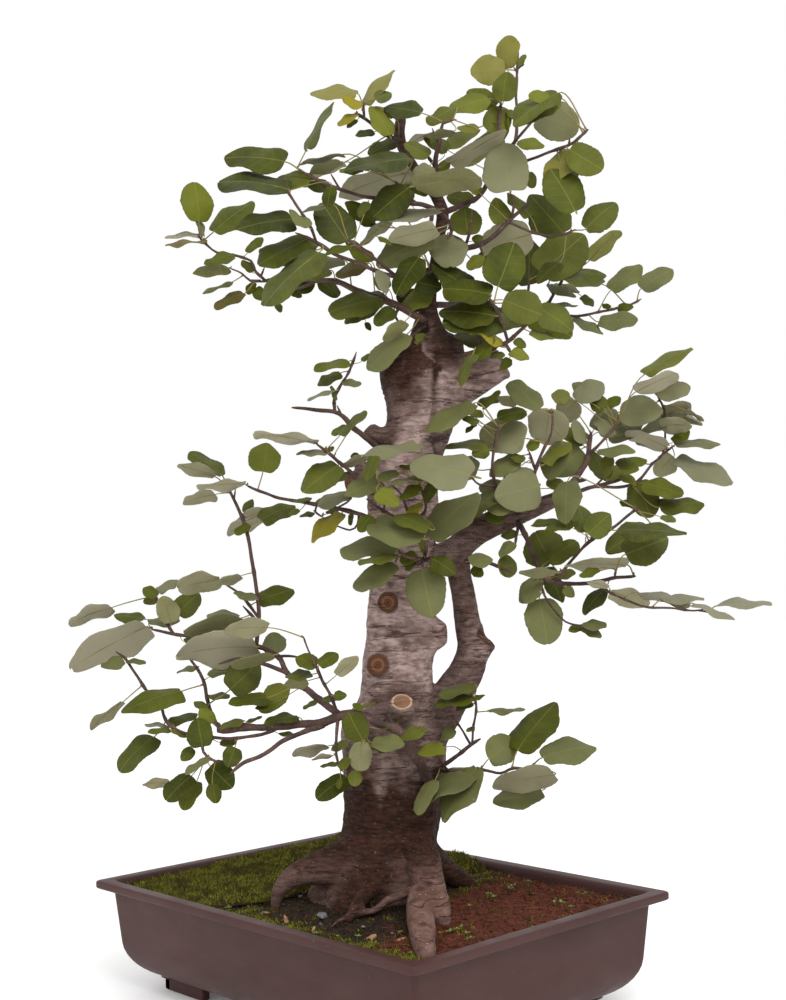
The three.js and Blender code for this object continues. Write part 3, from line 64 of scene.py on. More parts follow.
# Each vector over its own length.
def unit(vectors):
    return vectors / np.maximum(np.linalg.norm(vectors, axis=-1, keepdims=True), 1e-9)


# A fixed random value from -1 to 1 for each whole-number corner of space.
def cornerValue(i, j, k, seed):
    n = (i * 374761393 + j * 668265263 + k * 1442695041 + seed * 97531) & 0xFFFFFFFF
    n = ((n ^ (n >> 13)) * 1274126177) & 0xFFFFFFFF
    n = ((n ^ (n >> 15)) * 2246822519) & 0xFFFFFFFF
    return ((n ^ (n >> 16)) & 0xFFFF) / 32767.5 - 1


# Value noise: the eight corner values around a point, blended by a smooth step along each way.
def noise(points, seed=0):
    corner = np.floor(points).astype(np.int64)
    share = points - corner
    share = share * share * (3 - 2 * share)
    total = np.zeros(points.shape[:-1])
    for step in np.ndindex(2, 2, 2):
        weight = np.prod(np.where(step, share, 1 - share), axis=-1)
        total += weight * cornerValue(*(corner[..., axis] + step[axis] for axis in range(3)), seed)
    return total


# Rough noise: octaves at twice the pitch and about half the height of the one before.
def rough(points, octaves=3, seed=0):
    return sum(noise(points * 2.03**o, seed + o) * 0.52**o for o in range(octaves))


# A smooth curve through all rows (Catmull-Rom), with points about one spacing apart.
def smoothRows(rows, spacing):
    rows = np.array(rows, float)
    ends = np.vstack([2 * rows[0] - rows[1], rows, 2 * rows[-1] - rows[-2]])
    run = np.linalg.norm(np.diff(rows[:, :3], axis=0), axis=1)
    steps = np.maximum(np.round(run / spacing).astype(int), 1)
    part = np.concatenate([i + np.arange(m) / m for i, m in enumerate(steps)] + [[len(rows) - 1.0]])
    i = np.minimum(part.astype(int), len(rows) - 2)
    t = (part - i)[:, None]
    a, b, c, d = ends[i], ends[i + 1], ends[i + 2], ends[i + 3]
    return 0.5 * (2 * b + (c - a) * t + (2 * a - 5 * b + 4 * c - d) * t**2 + (3 * b - a - 3 * c + d) * t**3)


# A search tree over points.
def searchTree(points):
    tree = KDTree(len(points))
    for k, point in enumerate(points):
        tree.insert(point, k)
    tree.balance()
    return tree


# What a mesh is gathered in: points in mm, faces, and each face's or point's own values.
def newShape():
    return {"points": [], "faces": [], "kinds": [], "uv": [], "tone": [], "count": 0}


# Adds points and faces of three or four corners, with the material's place, flat places and tones.
def addPart(shape, points, faces, kind=0, uv=None, tone=None):
    points = points.reshape(-1, 3)
    count = len(points)
    shape["points"].append(points)
    shape["faces"].append(faces + shape["count"])
    shape["kinds"].append(np.broadcast_to(kind, len(faces)))
    shape["uv"].append(np.zeros((count, 2)) if uv is None else uv.reshape(-1, 2))
    shape["tone"].append(np.zeros((count, 4)) if tone is None else np.broadcast_to(tone, (count, 4)))
    shape["count"] += count


# Quads between neighbours on a grid; a closed one joins its last column to its first.
def gridFaces(rows, columns, closed=False):
    i, j = np.meshgrid(np.arange(rows - 1), np.arange(columns if closed else columns - 1), indexing="ij")
    after = (j + 1) % columns
    corners = [i * columns + j, i * columns + after, (i + 1) * columns + after, (i + 1) * columns + j]
    return np.stack(corners, -1).reshape(-1, 4)


# One set of faces repeated for many copies of so many points each.
def repeated(faces, copies, size):
    return (faces[None] + (np.arange(copies) * size)[:, None, None]).reshape(-1, faces.shape[1])


# A stack of rings, joined by quads and closed by a fan to a point at each end.
def addLoft(shape, rings, first, last, kind=0, tone=None):
    rows, sides = len(rings), len(rings[0])
    k, end = np.arange(sides), rows * sides
    after = (k + 1) % sides
    start = np.stack([np.full(sides, end), after, k], -1)
    close = np.stack([np.full(sides, end + 1), end - sides + k, end - sides + after], -1)
    shape["faces"].append(np.vstack([start, close]) + shape["count"])
    shape["kinds"].append(np.full(2 * sides, kind))
    points = np.vstack([np.reshape(rings, (-1, 3)), first, last])
    addPart(shape, points, gridFaces(rows, sides, True), kind, tone=tone)


# A tube: rings about a path, square to it, from a side that is least in line with the path.
def addTube(shape, path, radii, sides, kind=0, tone=None):
    along = unit(np.gradient(path, axis=0))
    steady = np.eye(3)[np.argmin(np.abs(along).max(axis=0))]
    side = unit(steady - along * (along @ steady)[:, None])
    other = np.cross(along, side)
    turn = np.linspace(0, 2 * np.pi, sides, endpoint=False)[None, :, None]
    spread = side[:, None] * np.cos(turn) + other[:, None] * np.sin(turn)
    rings = path[:, None] + spread * np.broadcast_to(radii, len(path))[:, None, None]
    addLoft(shape, rings, path[:1], path[-1:], kind, tone)


# Puts a new object into the scene and gives it back.
def linked(thing):
    bpy.context.scene.collection.objects.link(thing)
    return thing


# The shape becomes one mesh object, in metres, with its flat places and its tones as attributes.
def makePiece(name, shape, materials, slot, *replaced, smooth=True, sharp=None):
    corners = np.concatenate([faces.ravel() for faces in shape["faces"]])
    if sharp:  # sheets that meet share their corners
        rounded = np.round(np.concatenate(shape["points"]), 3)
        first, same = np.unique(rounded, axis=0, return_index=True, return_inverse=True)[1:]
        corners = first[same.ravel()][corners]
    used, corners = np.unique(corners, return_inverse=True)
    points, uv, tones = (np.concatenate(shape[key])[used] for key in ("points", "uv", "tone"))
    sizes = np.concatenate([np.full(len(faces), faces.shape[1]) for faces in shape["faces"]])
    mesh = bpy.data.meshes.new(name)
    mesh.vertices.add(len(points))
    mesh.vertices.foreach_set("co", points.ravel() / 1000)
    mesh.loops.add(len(corners))
    mesh.loops.foreach_set("vertex_index", corners)
    mesh.polygons.add(len(sizes))
    mesh.polygons.foreach_set("loop_start", np.concatenate([[0], np.cumsum(sizes)[:-1]]))
    mesh.update(calc_edges=True)
    mesh.polygons.foreach_set("material_index", np.concatenate(shape["kinds"]).astype(int))
    mesh.polygons.foreach_set("use_smooth", np.full(len(sizes), smooth))
    mesh.uv_layers.new(name="flat").uv.foreach_set("vector", uv[corners].ravel())
    tone = mesh.color_attributes.new("tone", "FLOAT_COLOR", "POINT")
    tone.data.foreach_set("color", tones.ravel())
    if sharp:
        mesh.set_sharp_from_angle(angle=sharp)
    for material in materials:
        mesh.materials.append(material)
    piece = linked(bpy.data.objects.new(name, mesh))
    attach(piece, "root")
    if replaced:
        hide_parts(*replaced)
    print(name, len(mesh.polygons), "faces")
    return piece


# Material building: nodes are made by kind, with values or other nodes' outlets for their sockets.
class Recipe:
    def __init__(self, name):
        self.material = bpy.data.materials.new(name)
        self.material.use_nodes = True
        self.nodes = self.material.node_tree.nodes
        self.links = self.material.node_tree.links

    # Sets a node's sockets, by name or number, to values or to other nodes' outlets.
    def fill(self, node, sockets):
        for key, value in sockets.items():
            socket = node.inputs[key]
            if isinstance(value, bpy.types.NodeSocket):
                self.links.new(value, socket)
            else:
                socket.default_value = (*value, 1) if socket.type == "RGBA" and len(value) == 3 else value

    # Adds a node of a kind with its sockets and settings, and gives back one outlet.
    def node(self, kind, sockets=None, outlet=0, **settings):
        node = self.nodes.new("ShaderNode" + kind)
        for key, value in settings.items():
            setattr(node, key, value)
        self.fill(node, sockets or {})
        return node.outputs[outlet]

    # The finished surface from a colour, a roughness, a relief and a share of gloss.
    def surface(self, colour, roughness, bump, gloss=0.5):
        sockets = {"Base Color": colour, "Roughness": roughness, "Normal": bump, "Specular IOR Level": gloss}
        self.fill(self.nodes["Principled BSDF"], sockets)
        return self.material

    # The object's own places, scaled by one number or by three.
    def places(self, scale):
        scale = scale if isinstance(scale, tuple) else (scale,) * 3
        return self.node("Mapping", {"Vector": self.node("TexCoord", outlet="Object"), "Scale": scale})

    def noise(self, scale, detail=4, roughness=0.55):
        values = {"Vector": self.places(scale), "Scale": 1, "Detail": detail, "Roughness": roughness}
        return self.node("TexNoise", values)

    # Distances in a pattern of cells: to the middle of each, or to its edge.
    def cells(self, scale, feature="F1"):
        return self.node("TexVoronoi", {"Vector": self.places(scale), "Scale": 1}, feature=feature)

    # Sums on numbers or outlets.
    def math(self, operation, *values):
        return self.node("Math", dict(enumerate(values)), operation=operation)

    def times(self, first, second):
        return self.math("MULTIPLY", first, second)

    def plus(self, first, second):
        return self.math("ADD", first, second)

    # Blends two colours by a share; each is three numbers from 0 to 255, or another node's.
    def blend(self, share, first, second):
        pair = [shade(*colour) if isinstance(colour, tuple) else colour for colour in (first, second)]
        return self.node("Mix", {0: share, 6: pair[0], 7: pair[1]}, 2, data_type="RGBA")

    # Spreads a value between two limits over 0 to 1, and holds it there.
    def spread(self, value, low, high, first=0.0, last=1.0):
        return self.node("MapRange", dict(enumerate((value, low, high, first, last))))

    # The four tones that each point of a piece carries.
    def tones(self):
        node = self.nodes.new("ShaderNodeAttribute")
        node.attribute_name = "tone"
        parts = self.nodes.new("ShaderNodeSeparateColor")
        self.links.new(node.outputs["Color"], parts.inputs[0])
        return *parts.outputs, node.outputs["Alpha"]

    # The piece's own flat places: two numbers for each point.
    def flat(self):
        parts = self.nodes.new("ShaderNodeSeparateXYZ")
        self.links.new(self.node("TexCoord", outlet="UV"), parts.inputs[0])
        return parts.outputs[0], parts.outputs[1]

    # Small relief by a height, over another relief if one is given.
    def relief(self, height, strength, distance, below=None):
        values = {"Height": height, "Strength": strength, "Distance": distance}
        return self.node("Bump", values | ({"Normal": below} if below else {}))


# A colour as a paint chart gives it, 0 to 255, made linear.
def shade(red, green, blue):
    chart = np.array([red, green, blue]) / 255
    return tuple(np.where(chart <= 0.04045, chart / 12.92, ((chart + 0.055) / 1.055) ** 2.4).tolist())


potForm = {
    "length": 450,
    "width": 325,
    "height": 106,
    "corner": 5,
    "lipHeight": 7.5,
    "overhang": 12.5,
    "lipEdge": 2,
    "rim": 12,
    "wallSlope": 0.094,
    "wall": 4,
    "bottomCurve": 26,
    "bottomRise": 32,
    "foot": 14,
    "footThickness": 9,
    "footLength": 62,
    "footInset": 48,
    "drain": 9,
    "drainSides": 24,
    "drainPlaces": [(105, 62), (105, -62), (-105, 62), (-105, -62)],
}


# How far the wall stands in from the rim at a height: it slopes, and curves in at the bottom in an arc.
def bodyInset(z):
    form = potForm
    slope = form["wallSlope"] * (form["height"] - form["lipHeight"] - z)
    curve = np.clip(1 - (z - form["foot"]) / form["bottomRise"], 0, 1)
    arc = form["bottomCurve"] * (1 - np.sqrt(1 - 0.98 * curve**2)) / (1 - np.sqrt(0.02))
    return form["overhang"] + slope + arc


# A level ring, anticlockwise: evenly spaced points along straight sides, and quarter circles at the corners.
def ringPoints(halfX, halfY, radius, z, bend=7, along=(56, 80), middle=(0, 0)):
    turns = np.linspace(0, np.pi / 2, bend)
    arcs = []
    for quarter, (sx, sy) in enumerate([(1, 1), (-1, 1), (-1, -1), (1, -1)]):
        turn = quarter * np.pi / 2 + turns
        hub = np.array([sx * (halfX - radius), sy * (halfY - radius)])
        arcs.append(hub + radius * np.stack([np.cos(turn), np.sin(turn)], -1))
    points = []
    for quarter in range(4):
        arc, after = arcs[quarter], arcs[(quarter + 1) % 4][0]
        share = np.linspace(0, 1, along[(quarter + 1) % 2] + 1)[1:-1, None]
        points += [arc, arc[-1] + (after - arc[-1]) * share]
    ring = np.vstack(points) + middle
    return np.column_stack([ring, np.full(len(ring), float(z))]) + potMiddle


# A ring that stands in from the rim's outline, and one that follows the body's wall.
def rimRing(inset, radius, z):
    return ringPoints(potForm["length"] / 2 - inset, potForm["width"] / 2 - inset, radius, z)


def bodyRing(z, inward=0.0, height=None):
    inset = bodyInset(z)
    radius = max(potForm["corner"] + max(inset - 18, 0) * 0.3 - inward * 0.4, 1.5)
    return rimRing(inset + inward, radius, z if height is None else height)


# A level sheet inside a ring, with round holes, cut into triangles that face up or down.
def addFloor(shape, ring, facesUp):
    loops = [ring[:, :2]] + [drainCircle(x, y)[::-1] for x, y in potForm["drainPlaces"]]
    corners = [[Vector((*point, 0)) for point in loop] for loop in loops]
    triangles = np.array(tessellate_polygon(corners))
    flat = np.concatenate(loops)
    a, b, c = (flat[triangles[:, k]] for k in range(3))
    turned = ((b - a)[:, 0] * (c - a)[:, 1] - (b - a)[:, 1] * (c - a)[:, 0] > 0) != facesUp
    triangles[turned] = triangles[turned][:, ::-1]
    addPart(shape, np.column_stack([flat, np.full(len(flat), ring[0, 2])]), triangles)


# A drain hole's outline, from above.
def drainCircle(x, y):
    turn = np.linspace(0, 2 * np.pi, potForm["drainSides"], endpoint=False)
    return potForm["drain"] * np.stack([np.cos(turn), np.sin(turn)], -1) + [x, y] + potMiddle[:2]


# A block with rounded upright edges and a narrow slope round its foot: rings closed by fans.
def addBlock(shape, middle, halfX, halfY, low, high):
    steps = [(0.9, low), (0, low + 1), (0, high)]
    rings = [ringPoints(halfX - inset, halfY - inset, 1.6, z, 4, (2, 2), middle) for inset, z in steps]
    addLoft(shape, rings, rings[0].mean(axis=0), rings[-1].mean(axis=0))


# A corner foot: two upright bars that meet at the corner, under a thin plate.
def addFoot(shape, sx, sy):
    form = potForm
    x, y = form["length"] / 2 - form["footInset"], form["width"] / 2 - form["footInset"]
    thick, long, short = form["footThickness"] / 2, form["footLength"] / 2, form["footLength"] * 0.4
    low, high = form["foot"] - 2.6, form["foot"] + 0.8
    addBlock(shape, (sx * (x - long), sy * (y - thick)), long, thick, 0, form["foot"] + 1)
    addBlock(shape, (sx * (x - thick), sy * (y - short)), thick, short, 0, form["foot"] + 1)
    addBlock(shape, (sx * (x - long + 1), sy * (y - thick - 1)), long + 3, thick + 2.5, low, high)
    addBlock(shape, (sx * (x - thick - 1), sy * (y - short + 1)), thick + 2.5, short + 3, low, high)


# The pot is one loft: up the outer wall, round the lip and down the inner wall, with floors and drain holes.
def makePot(material):
    form = potForm
    top, under = form["height"], form["height"] - form["lipHeight"]
    edge, corner = form["lipEdge"], form["corner"]
    low = np.array([0, 0.03, 0.08, 0.15, 0.24, 0.35, 0.48, 0.64, 0.82, 1.0])
    low = form["foot"] + form["bottomRise"] * low
    rings = [bodyRing(z) for z in [*low, *np.linspace(low[-1], under, 8)[1:]]]
    rings += [rimRing(inset, corner, under) for inset in (9, 5, edge)]
    turns = np.linspace(0, np.pi / 2, 5)
    rings += [rimRing(edge - edge * np.sin(a), corner, under + edge - edge * np.cos(a)) for a in turns[1:]]
    rings += [rimRing(edge - edge * np.cos(a), corner, top - edge + edge * np.sin(a)) for a in turns]
    rings += [rimRing(inset, corner, top) for inset in (5, 9, form["rim"] - 1)]
    rings += [rimRing(form["rim"] + 1.2, corner, top - 0.4), rimRing(form["rim"] + 2.6, corner, top - 1.4)]
    rings += [bodyRing(under, form["wall"], top - 5)]
    curved = form["wall"] * (form["foot"] + form["bottomRise"] - low[::-1]) / form["bottomRise"]
    rings += [bodyRing(z, form["wall"], z + lift) for z, lift in zip(low[::-1], curved)]
    shape = newShape()
    addPart(shape, np.concatenate(rings), gridFaces(len(rings), len(rings[0]), True))
    addFloor(shape, rings[0], False)
    addFloor(shape, rings[-1], True)
    for x, y in form["drainPlaces"]:
        circle = drainCircle(x, y)
        pair = [np.column_stack([circle, np.full(len(circle), rings[k][0, 2])]) for k in (-1, 0)]
        addPart(shape, np.concatenate(pair), gridFaces(2, len(circle), True)[:, ::-1])
    for sx, sy in [(1, 1), (1, -1), (-1, 1), (-1, -1)]:
        addFoot(shape, sx, sy)
    makePiece("trainingPot", shape, [material], "pot", "pot", sharp=0.7)


groundForm = {
    "soilTop": 97,
    "soilRings": 66,
    "soilSides": (74, 104),
    "clods": 1.5,
    "mound": 9,
    "mossRise": 11.9,
    "mossGrid": (112, 88),
    "crumbs": 3900,
    "fibres": 900,
    "sprigs": 39000,
    "weeds": 46,
    "weedPlaces": [
        (103, 52), (201, 20), (164, 80), (150, -40), (88, 96), (120, -20), (182, -60), (70, -128), (60, 20),
    ],
}

# Patches of sparse moss on the bare soil: middle x and y, spread each way, and how thick they grow.
mossPatches = [(190, -130, 30, 22, 1.2), (12, 112, 40, 42, 1.35), (62, 62, 16, 26, 1), (-46, -104, 40, 34, 1)]


# A soft hump at a place: the bell curve of x over its spread times that of y.
def hump(x, y, middleX, middleY, wide, deep):
    return np.exp(-(((x - middleX) / wide) ** 2) - ((y - middleY) / deep) ** 2)


# The soil's height at a place in the pot: a mound at the trunk, another under the moss, and slow waves.
def soilHeight(x, y):
    atTrunk, atMoss = hump(x, y, 31, -2, 78, 74), hump(x, y, -112, 32, 72, 84)
    uneven = np.sin(x / 23 + 1.3) * np.cos(y / 19) + 0.7 * np.sin(x / 11 - y / 14)
    form = groundForm
    return form["soilTop"] + form["mound"] * atTrunk + form["mossRise"] * atMoss + 0.9 * uneven


# The dense moss ends at this x for each y.
def mossEdge(y):
    t = y / 148
    return -14 + 42 * np.sin(1.35 * t + 0.1) - 16 * t**2 + 5 * np.sin(9 * t)


# How much sparse moss grows on the bare soil: a band along the front wall, patches, and the right edge.
def patchShare(x, y):
    points = np.stack([x / 15, y / 15, 0 * x], -1)
    band = np.exp(-(((y + 136) / 18) ** 2)) * np.clip((x + 110) / 60, 0, 1) * 2.1
    far = np.exp(-(((x - 212) / 9) ** 2)) * 0.35
    patches = [thick * hump(x, y, *patch) for *patch, thick in mossPatches]
    total = np.maximum.reduce([band, far, *patches])
    return np.clip(total + 0.75 * rough(points, 3, 61) - 0.42, 0, 1)


# Dark, wet soil lies round the roots and towards the front-left; reddish fibre covers the rest.
def darkShare(x, y):
    slope = (x - 96) / 26 + (y + 30) / 60
    return np.clip(0.5 - slope + 0.5 * rough(np.stack([x / 18, y / 18, 0 * x], -1), 3, 77), 0, 1)


# The soil: rings up the pot's inner wall, then rings that shrink towards the middle over the uneven surface.
def makeSoil(material):
    form = potForm
    inner = form["foot"] + form["bottomRise"] * np.array([0, 0.12, 0.36, 1])
    inward = form["wall"] + 0.35
    lift = inward * (form["foot"] + form["bottomRise"] - inner) / form["bottomRise"] + 0.1
    sides = [bodyRing(z, inward, z + raised) for z, raised in zip(inner, lift)]
    rings = []
    inset = bodyInset(groundForm["soilTop"] - 3) + inward
    for share in 1 - np.linspace(0, 1, groundForm["soilRings"]) ** 0.82 * 0.985:
        halfX, halfY = (form["length"] / 2 - inset) * share, (form["width"] / 2 - inset) * share
        ring = ringPoints(halfX, halfY, 4 * share, 0, 7, groundForm["soilSides"]) - potMiddle
        x, y = ring[:, 0], ring[:, 1]
        fine = np.stack([x / 5, y / 5, 0 * x], -1)
        ring[:, 2] = soilHeight(x, y) + groundForm["clods"] * rough(fine, 4, 31) * min(1, (1 - share) * 14)
        rings.append(ring + potMiddle)
    rings = [resampled(ring, len(rings[0])) for ring in sides] + rings
    points = np.concatenate(rings) - potMiddle
    x, y = points[:, 0], points[:, 1]
    tone = np.stack([darkShare(x, y), patchShare(x, y), 0 * x, 0 * x], -1)
    tone = np.vstack([tone, tone[:1], tone[-1:]])
    shape = newShape()
    addLoft(shape, rings, rings[0].mean(axis=0), rings[-1].mean(axis=0), tone=tone)
    makePiece("soilBed", shape, [material], "soil", "soil")


# The same closed line with another number of points, evenly shared by their order.
def resampled(ring, count):
    part = np.linspace(0, len(ring), count, endpoint=False)
    closed = np.vstack([ring, ring[:1]])
    return np.stack([np.interp(part, np.arange(len(closed)), closed[:, k]) for k in range(3)], -1)


# Copies of one small form: each turned and scaled by its own frame, roughened, and moved to its place.
def addCopies(shape, form, faces, frames, places, tones, jitter=0.0, draw=None):
    copies = np.einsum("nij,mj->nmi", frames, form)
    if jitter:
        copies = copies * (1 + jitter * (draw.random(copies.shape[:2]) - 0.5))[..., None]
    points = copies + places[:, None] + potMiddle
    tones = np.repeat(tones, len(form), axis=0)
    addPart(shape, points, repeated(faces, len(places), len(form)), tone=tones)


# Frames whose third way is near the given one, with a free turn about it.
def framesAlong(ways, draw):
    third = unit(ways)
    first = unit(np.cross(third, draw.normal(size=third.shape)))
    return np.stack([first, np.cross(third, first), third], -1)


# A crumb is a regular body of twenty faces.
def crumbForm():
    g = (1 + 5**0.5) / 2
    points = [(-1, g, 0), (1, g, 0), (-1, -g, 0), (1, -g, 0), (0, -1, g), (0, 1, g)]
    points += [(0, -1, -g), (0, 1, -g), (g, 0, -1), (g, 0, 1), (-g, 0, -1), (-g, 0, 1)]
    faces = [(0, 11, 5), (0, 5, 1), (0, 1, 7), (0, 7, 10), (0, 10, 11), (1, 5, 9), (5, 11, 4)]
    faces += [(11, 10, 2), (10, 7, 6), (7, 1, 8), (3, 9, 4), (3, 4, 2), (3, 2, 6), (3, 6, 8)]
    faces += [(3, 8, 9), (4, 9, 5), (2, 4, 11), (6, 2, 10), (8, 6, 7), (9, 8, 1)]
    return unit(np.array(points, float)), np.array(faces)


# Random places on the soil, kept by a share from 0 to 1 for each.
def soilPlaces(count, share, draw):
    kept = np.zeros((0, 2))
    while len(kept) < count:
        tries = (draw.random((count * 3, 2)) - 0.5) * [416, 291]
        kept = np.vstack([kept, tries[draw.random(len(tries)) < share(tries[:, 0], tries[:, 1])]])
    x, y = kept[:count, 0], kept[:count, 1]
    return np.stack([x, y, soilHeight(x, y)], -1)


# Tones of loose soil: as dark as the ground below, and otherwise free.
def soilTones(places, draw):
    return np.column_stack([darkShare(places[:, 0], places[:, 1]), draw.random((len(places), 3))])


# Crumbs: uneven lumps of many sizes, mostly small, on the soil that has no moss.
def makeCrumbs(material):
    draw = np.random.default_rng(5)
    shape = newShape()
    form, faces = crumbForm()
    count = groundForm["crumbs"]
    places = soilPlaces(count, lambda x, y: (x > mossEdge(y) - 4) * (1 - 0.75 * patchShare(x, y)), draw)
    sizes = (0.6 + 1.6 * draw.random(count) ** 2.6)[:, None] * [1, 0.8, 0.62]
    tones = soilTones(places, draw)
    frames = framesAlong(draw.normal(size=(count, 3)), draw)
    addCopies(shape, form, faces, frames * sizes[:, None], places + up * 0.3, tones, 0.5, draw)
    makePiece("soilCrumbs", shape, [material], "soil", smooth=False)


# Short fibres lie over the soil: thin bent tubes of four rings.
def makeFibres(material):
    draw = np.random.default_rng(6)
    shape = newShape()
    count = groundForm["fibres"]
    places = soilPlaces(count, lambda x, y: (x > mossEdge(y)) * (1 - 0.9 * darkShare(x, y)), draw)
    ways = unit(draw.normal(size=(count, 3)) * [1, 1, 0.28])
    bends = draw.normal(size=(count, 3)) * 0.9
    tones = soilTones(places, draw)
    t = np.linspace(-1, 1, 4)[:, None]
    for spot, way, bend, tone, reach in zip(places, ways, bends, tones, 2 + 4.5 * draw.random(count)):
        path = spot + potMiddle + up + way * reach * t + bend * (1 - t**2)
        addTube(shape, path, [0.16, 0.3, 0.3, 0.14], 3, tone=tone)
    makePiece("soilFibres", shape, [material], "soil")


# The moss mat's side and left edge, a little clear of the pot's walls.
mossSide = potForm["width"] / 2 - potForm["overhang"] - potForm["wall"] - 1.4
mossLeft = -(potForm["length"] / 2 - potForm["overhang"] - potForm["wall"] - 1.4)


# Thickness of the moss mat: it rises from its rim, swells in cushions and climbs towards the far wall.
def mossThickness(x, y):
    rim = np.clip(np.minimum.reduce([mossEdge(y) - x, x - mossLeft, mossSide - np.abs(y)]), 0, None)
    points = np.stack([x, y, 0 * x], -1)
    cushions = 2.6 * rough(points / 17, 2, 41) + 1.5 * rough(points / 6, 3, 42)
    wall = 9 * np.exp(-(((y - mossSide) / 34) ** 2)) * np.clip((rim - 1) / 6, 0, 1)
    return 1.6 + 4.4 * (1 - np.exp(-rim / 22)) + wall + cushions * np.clip(rim / 9, 0, 1)


# The mat: a grid from the left wall to its edge, a second one below it, and a wall between the two.
def makeMossMat(material):
    deep, wide = groundForm["mossGrid"]
    b, a = np.meshgrid(np.linspace(-mossSide, mossSide, deep), np.linspace(0, 1, wide), indexing="ij")
    left = mossLeft + np.clip(np.abs(b) - mossSide + 4, 0, None) * 0.7
    x = left + (mossEdge(b) - left) * a
    low = np.stack([x, b, soilHeight(x, b) + 1.5], -1)
    high = low + up * mossThickness(x, b)[..., None]
    fray = np.clip((a - 0.9) * 10, 0, 1) * (0.5 + 0.5 * rough(low / 8, 2, 44))
    high[..., 2] -= fray * 2.2
    tone = np.stack([0.5 + 0.5 * rough(low / 30, 3, 51), 0.5 + 0.5 * rough(low / 9, 2, 52), fray, 0 * a], -1)
    size, faces = a.size, gridFaces(*a.shape)
    i = np.arange(size).reshape(a.shape)
    edge = np.concatenate([i[0, :-1], i[:-1, -1], i[-1, :0:-1], i[:0:-1, 0]])
    after = np.roll(edge, -1)
    wall = np.stack([edge, edge + size, after + size, after], -1)
    both = np.vstack([faces[:, ::-1], faces + size, wall[:, ::-1]])
    shape = newShape()
    addPart(shape, np.stack([high, low]) + potMiddle, both, tone=np.stack([tone, tone]).reshape(-1, 4))
    makePiece("mossMat", shape, [material], "moss", "moss")


# Moss shoots: slim leaning cones, close together on the mat and in patches on the bare soil.
def makeSprigs(material):
    draw = np.random.default_rng(8)
    count = groundForm["sprigs"]
    places = soilPlaces(count, lambda x, y: np.where(x < mossEdge(y) - 1, 0.9, 0.9 * patchShare(x, y)), draw)
    x, y = places[:, 0], places[:, 1]
    onMat = x < mossEdge(y) - 1
    places[:, 2] += np.where(onMat, 1.2 + mossThickness(x, y), 0.3)
    tall = (1.5 + 4.4 * draw.random(count) ** 3) * np.where(onMat, 1, 0.8)
    form = np.array([[np.cos(a), np.sin(a), -0.3] for a in (0, 2.1, 4.2)] + [[0, 0, 1.0]])
    faces = np.array([(0, 1, 3), (1, 2, 3), (2, 0, 3), (2, 1, 0)])
    frames = framesAlong(up + draw.normal(size=(count, 3)) * [0.55, 0.55, 0.1], draw)
    wide = 0.42 + 0.3 * draw.random(count)
    lumps = rough(np.stack([x / 13, y / 13, 0 * x], -1), 3, 53)
    tones = np.column_stack([0.5 + 0.5 * lumps, draw.random((count, 2)), np.ones(count)])
    shape = newShape()
    addCopies(shape, form, faces, frames * np.stack([wide, wide, tall], -1)[:, None], places, tones)
    makePiece("mossShoots", shape, [material], "moss", smooth=False)


# A small leaf or petal: a pointed flat diamond with a fold, closed by a second sheet below.
def weedForm():
    top = np.array([(0, 0, 0), (0.45, 0.4, 0.12), (1, 0, 0.05), (0.45, -0.4, 0.12), (0.5, 0, 0.02)])
    points = np.vstack([top, [(0.5, 0, -0.06)]])
    faces = np.array([(0, 4, 1), (1, 4, 2), (2, 4, 3), (3, 4, 0), (1, 5, 0), (2, 5, 1), (3, 5, 2), (0, 5, 3)])
    return points, faces[:, ::-1]


# Small weeds on the bare soil, in threes at given places and freely: a few leaves in a ring.
def makeWeeds(material):
    draw = np.random.default_rng(9)
    form, faces = weedForm()
    shape = newShape()
    hand = np.array(groundForm["weedPlaces"])
    free = groundForm["weeds"] - 3 * len(hand)
    spread = soilPlaces(free, lambda x, y: (x > mossEdge(y) + 10) * (np.hypot(x - 30, y) > 55), draw)[:, :2]
    middles = np.vstack([np.repeat(hand, 3, axis=0) + draw.normal(size=(3 * len(hand), 2)) * 5, spread])
    for x, y in middles:
        leaves = draw.integers(3, 7)
        turn = np.linspace(0, 2 * np.pi, leaves, endpoint=False) + draw.random() * 6
        tilt = 0.25 + 0.6 * draw.random(leaves)
        first = np.stack([np.cos(turn) * np.cos(tilt), np.sin(turn) * np.cos(tilt), np.sin(tilt)], -1)
        second = np.stack([-np.sin(turn), np.cos(turn), 0 * turn], -1)
        frames = np.stack([first, second, np.cross(first, second)], -1)
        tall = 1.5 + 3.5 * draw.random()
        hub = np.array([x, y, soilHeight(x, y) + tall])
        places = hub + first * 0.4
        tones = np.tile([draw.random(), draw.random(), 0, 0], (leaves, 1))
        addCopies(shape, form, faces, frames * (1.8 + 2.6 * draw.random()), places, tones)
        stem = np.stack([hub - up * (tall + 1), hub - up * tall / 2 + draw.normal(size=3) * 0.3, hub])
        addTube(shape, stem + potMiddle, [0.3, 0.25, 0.3], 4, tone=tones[0])
    makePiece("soilWeeds", shape, [material], "moss", smooth=False)


# Stones and bark chips that lie on the soil: how long, wide and high for their size, and rows of x, y, size.
looseThings = {
    "looseStones": ((1, 0.8, 0.55), [(36, -92, 6.5), (52, -107, 3), (-78, -67, 2.2), (88, -90, 2.4),
        (-30, -62, 3.2), (118, -84, 2), (-52, -88, 2.4)]),
    "barkChips": ((1.5, 0.5, 0.22), [(23, -122, 5), (61, -124, 4), (116, -106, 5.5), (-116, -126, 4.5),
        (-17, -114, 3.5), (140, -96, 4), (-60, -40, 3.5)]),
}


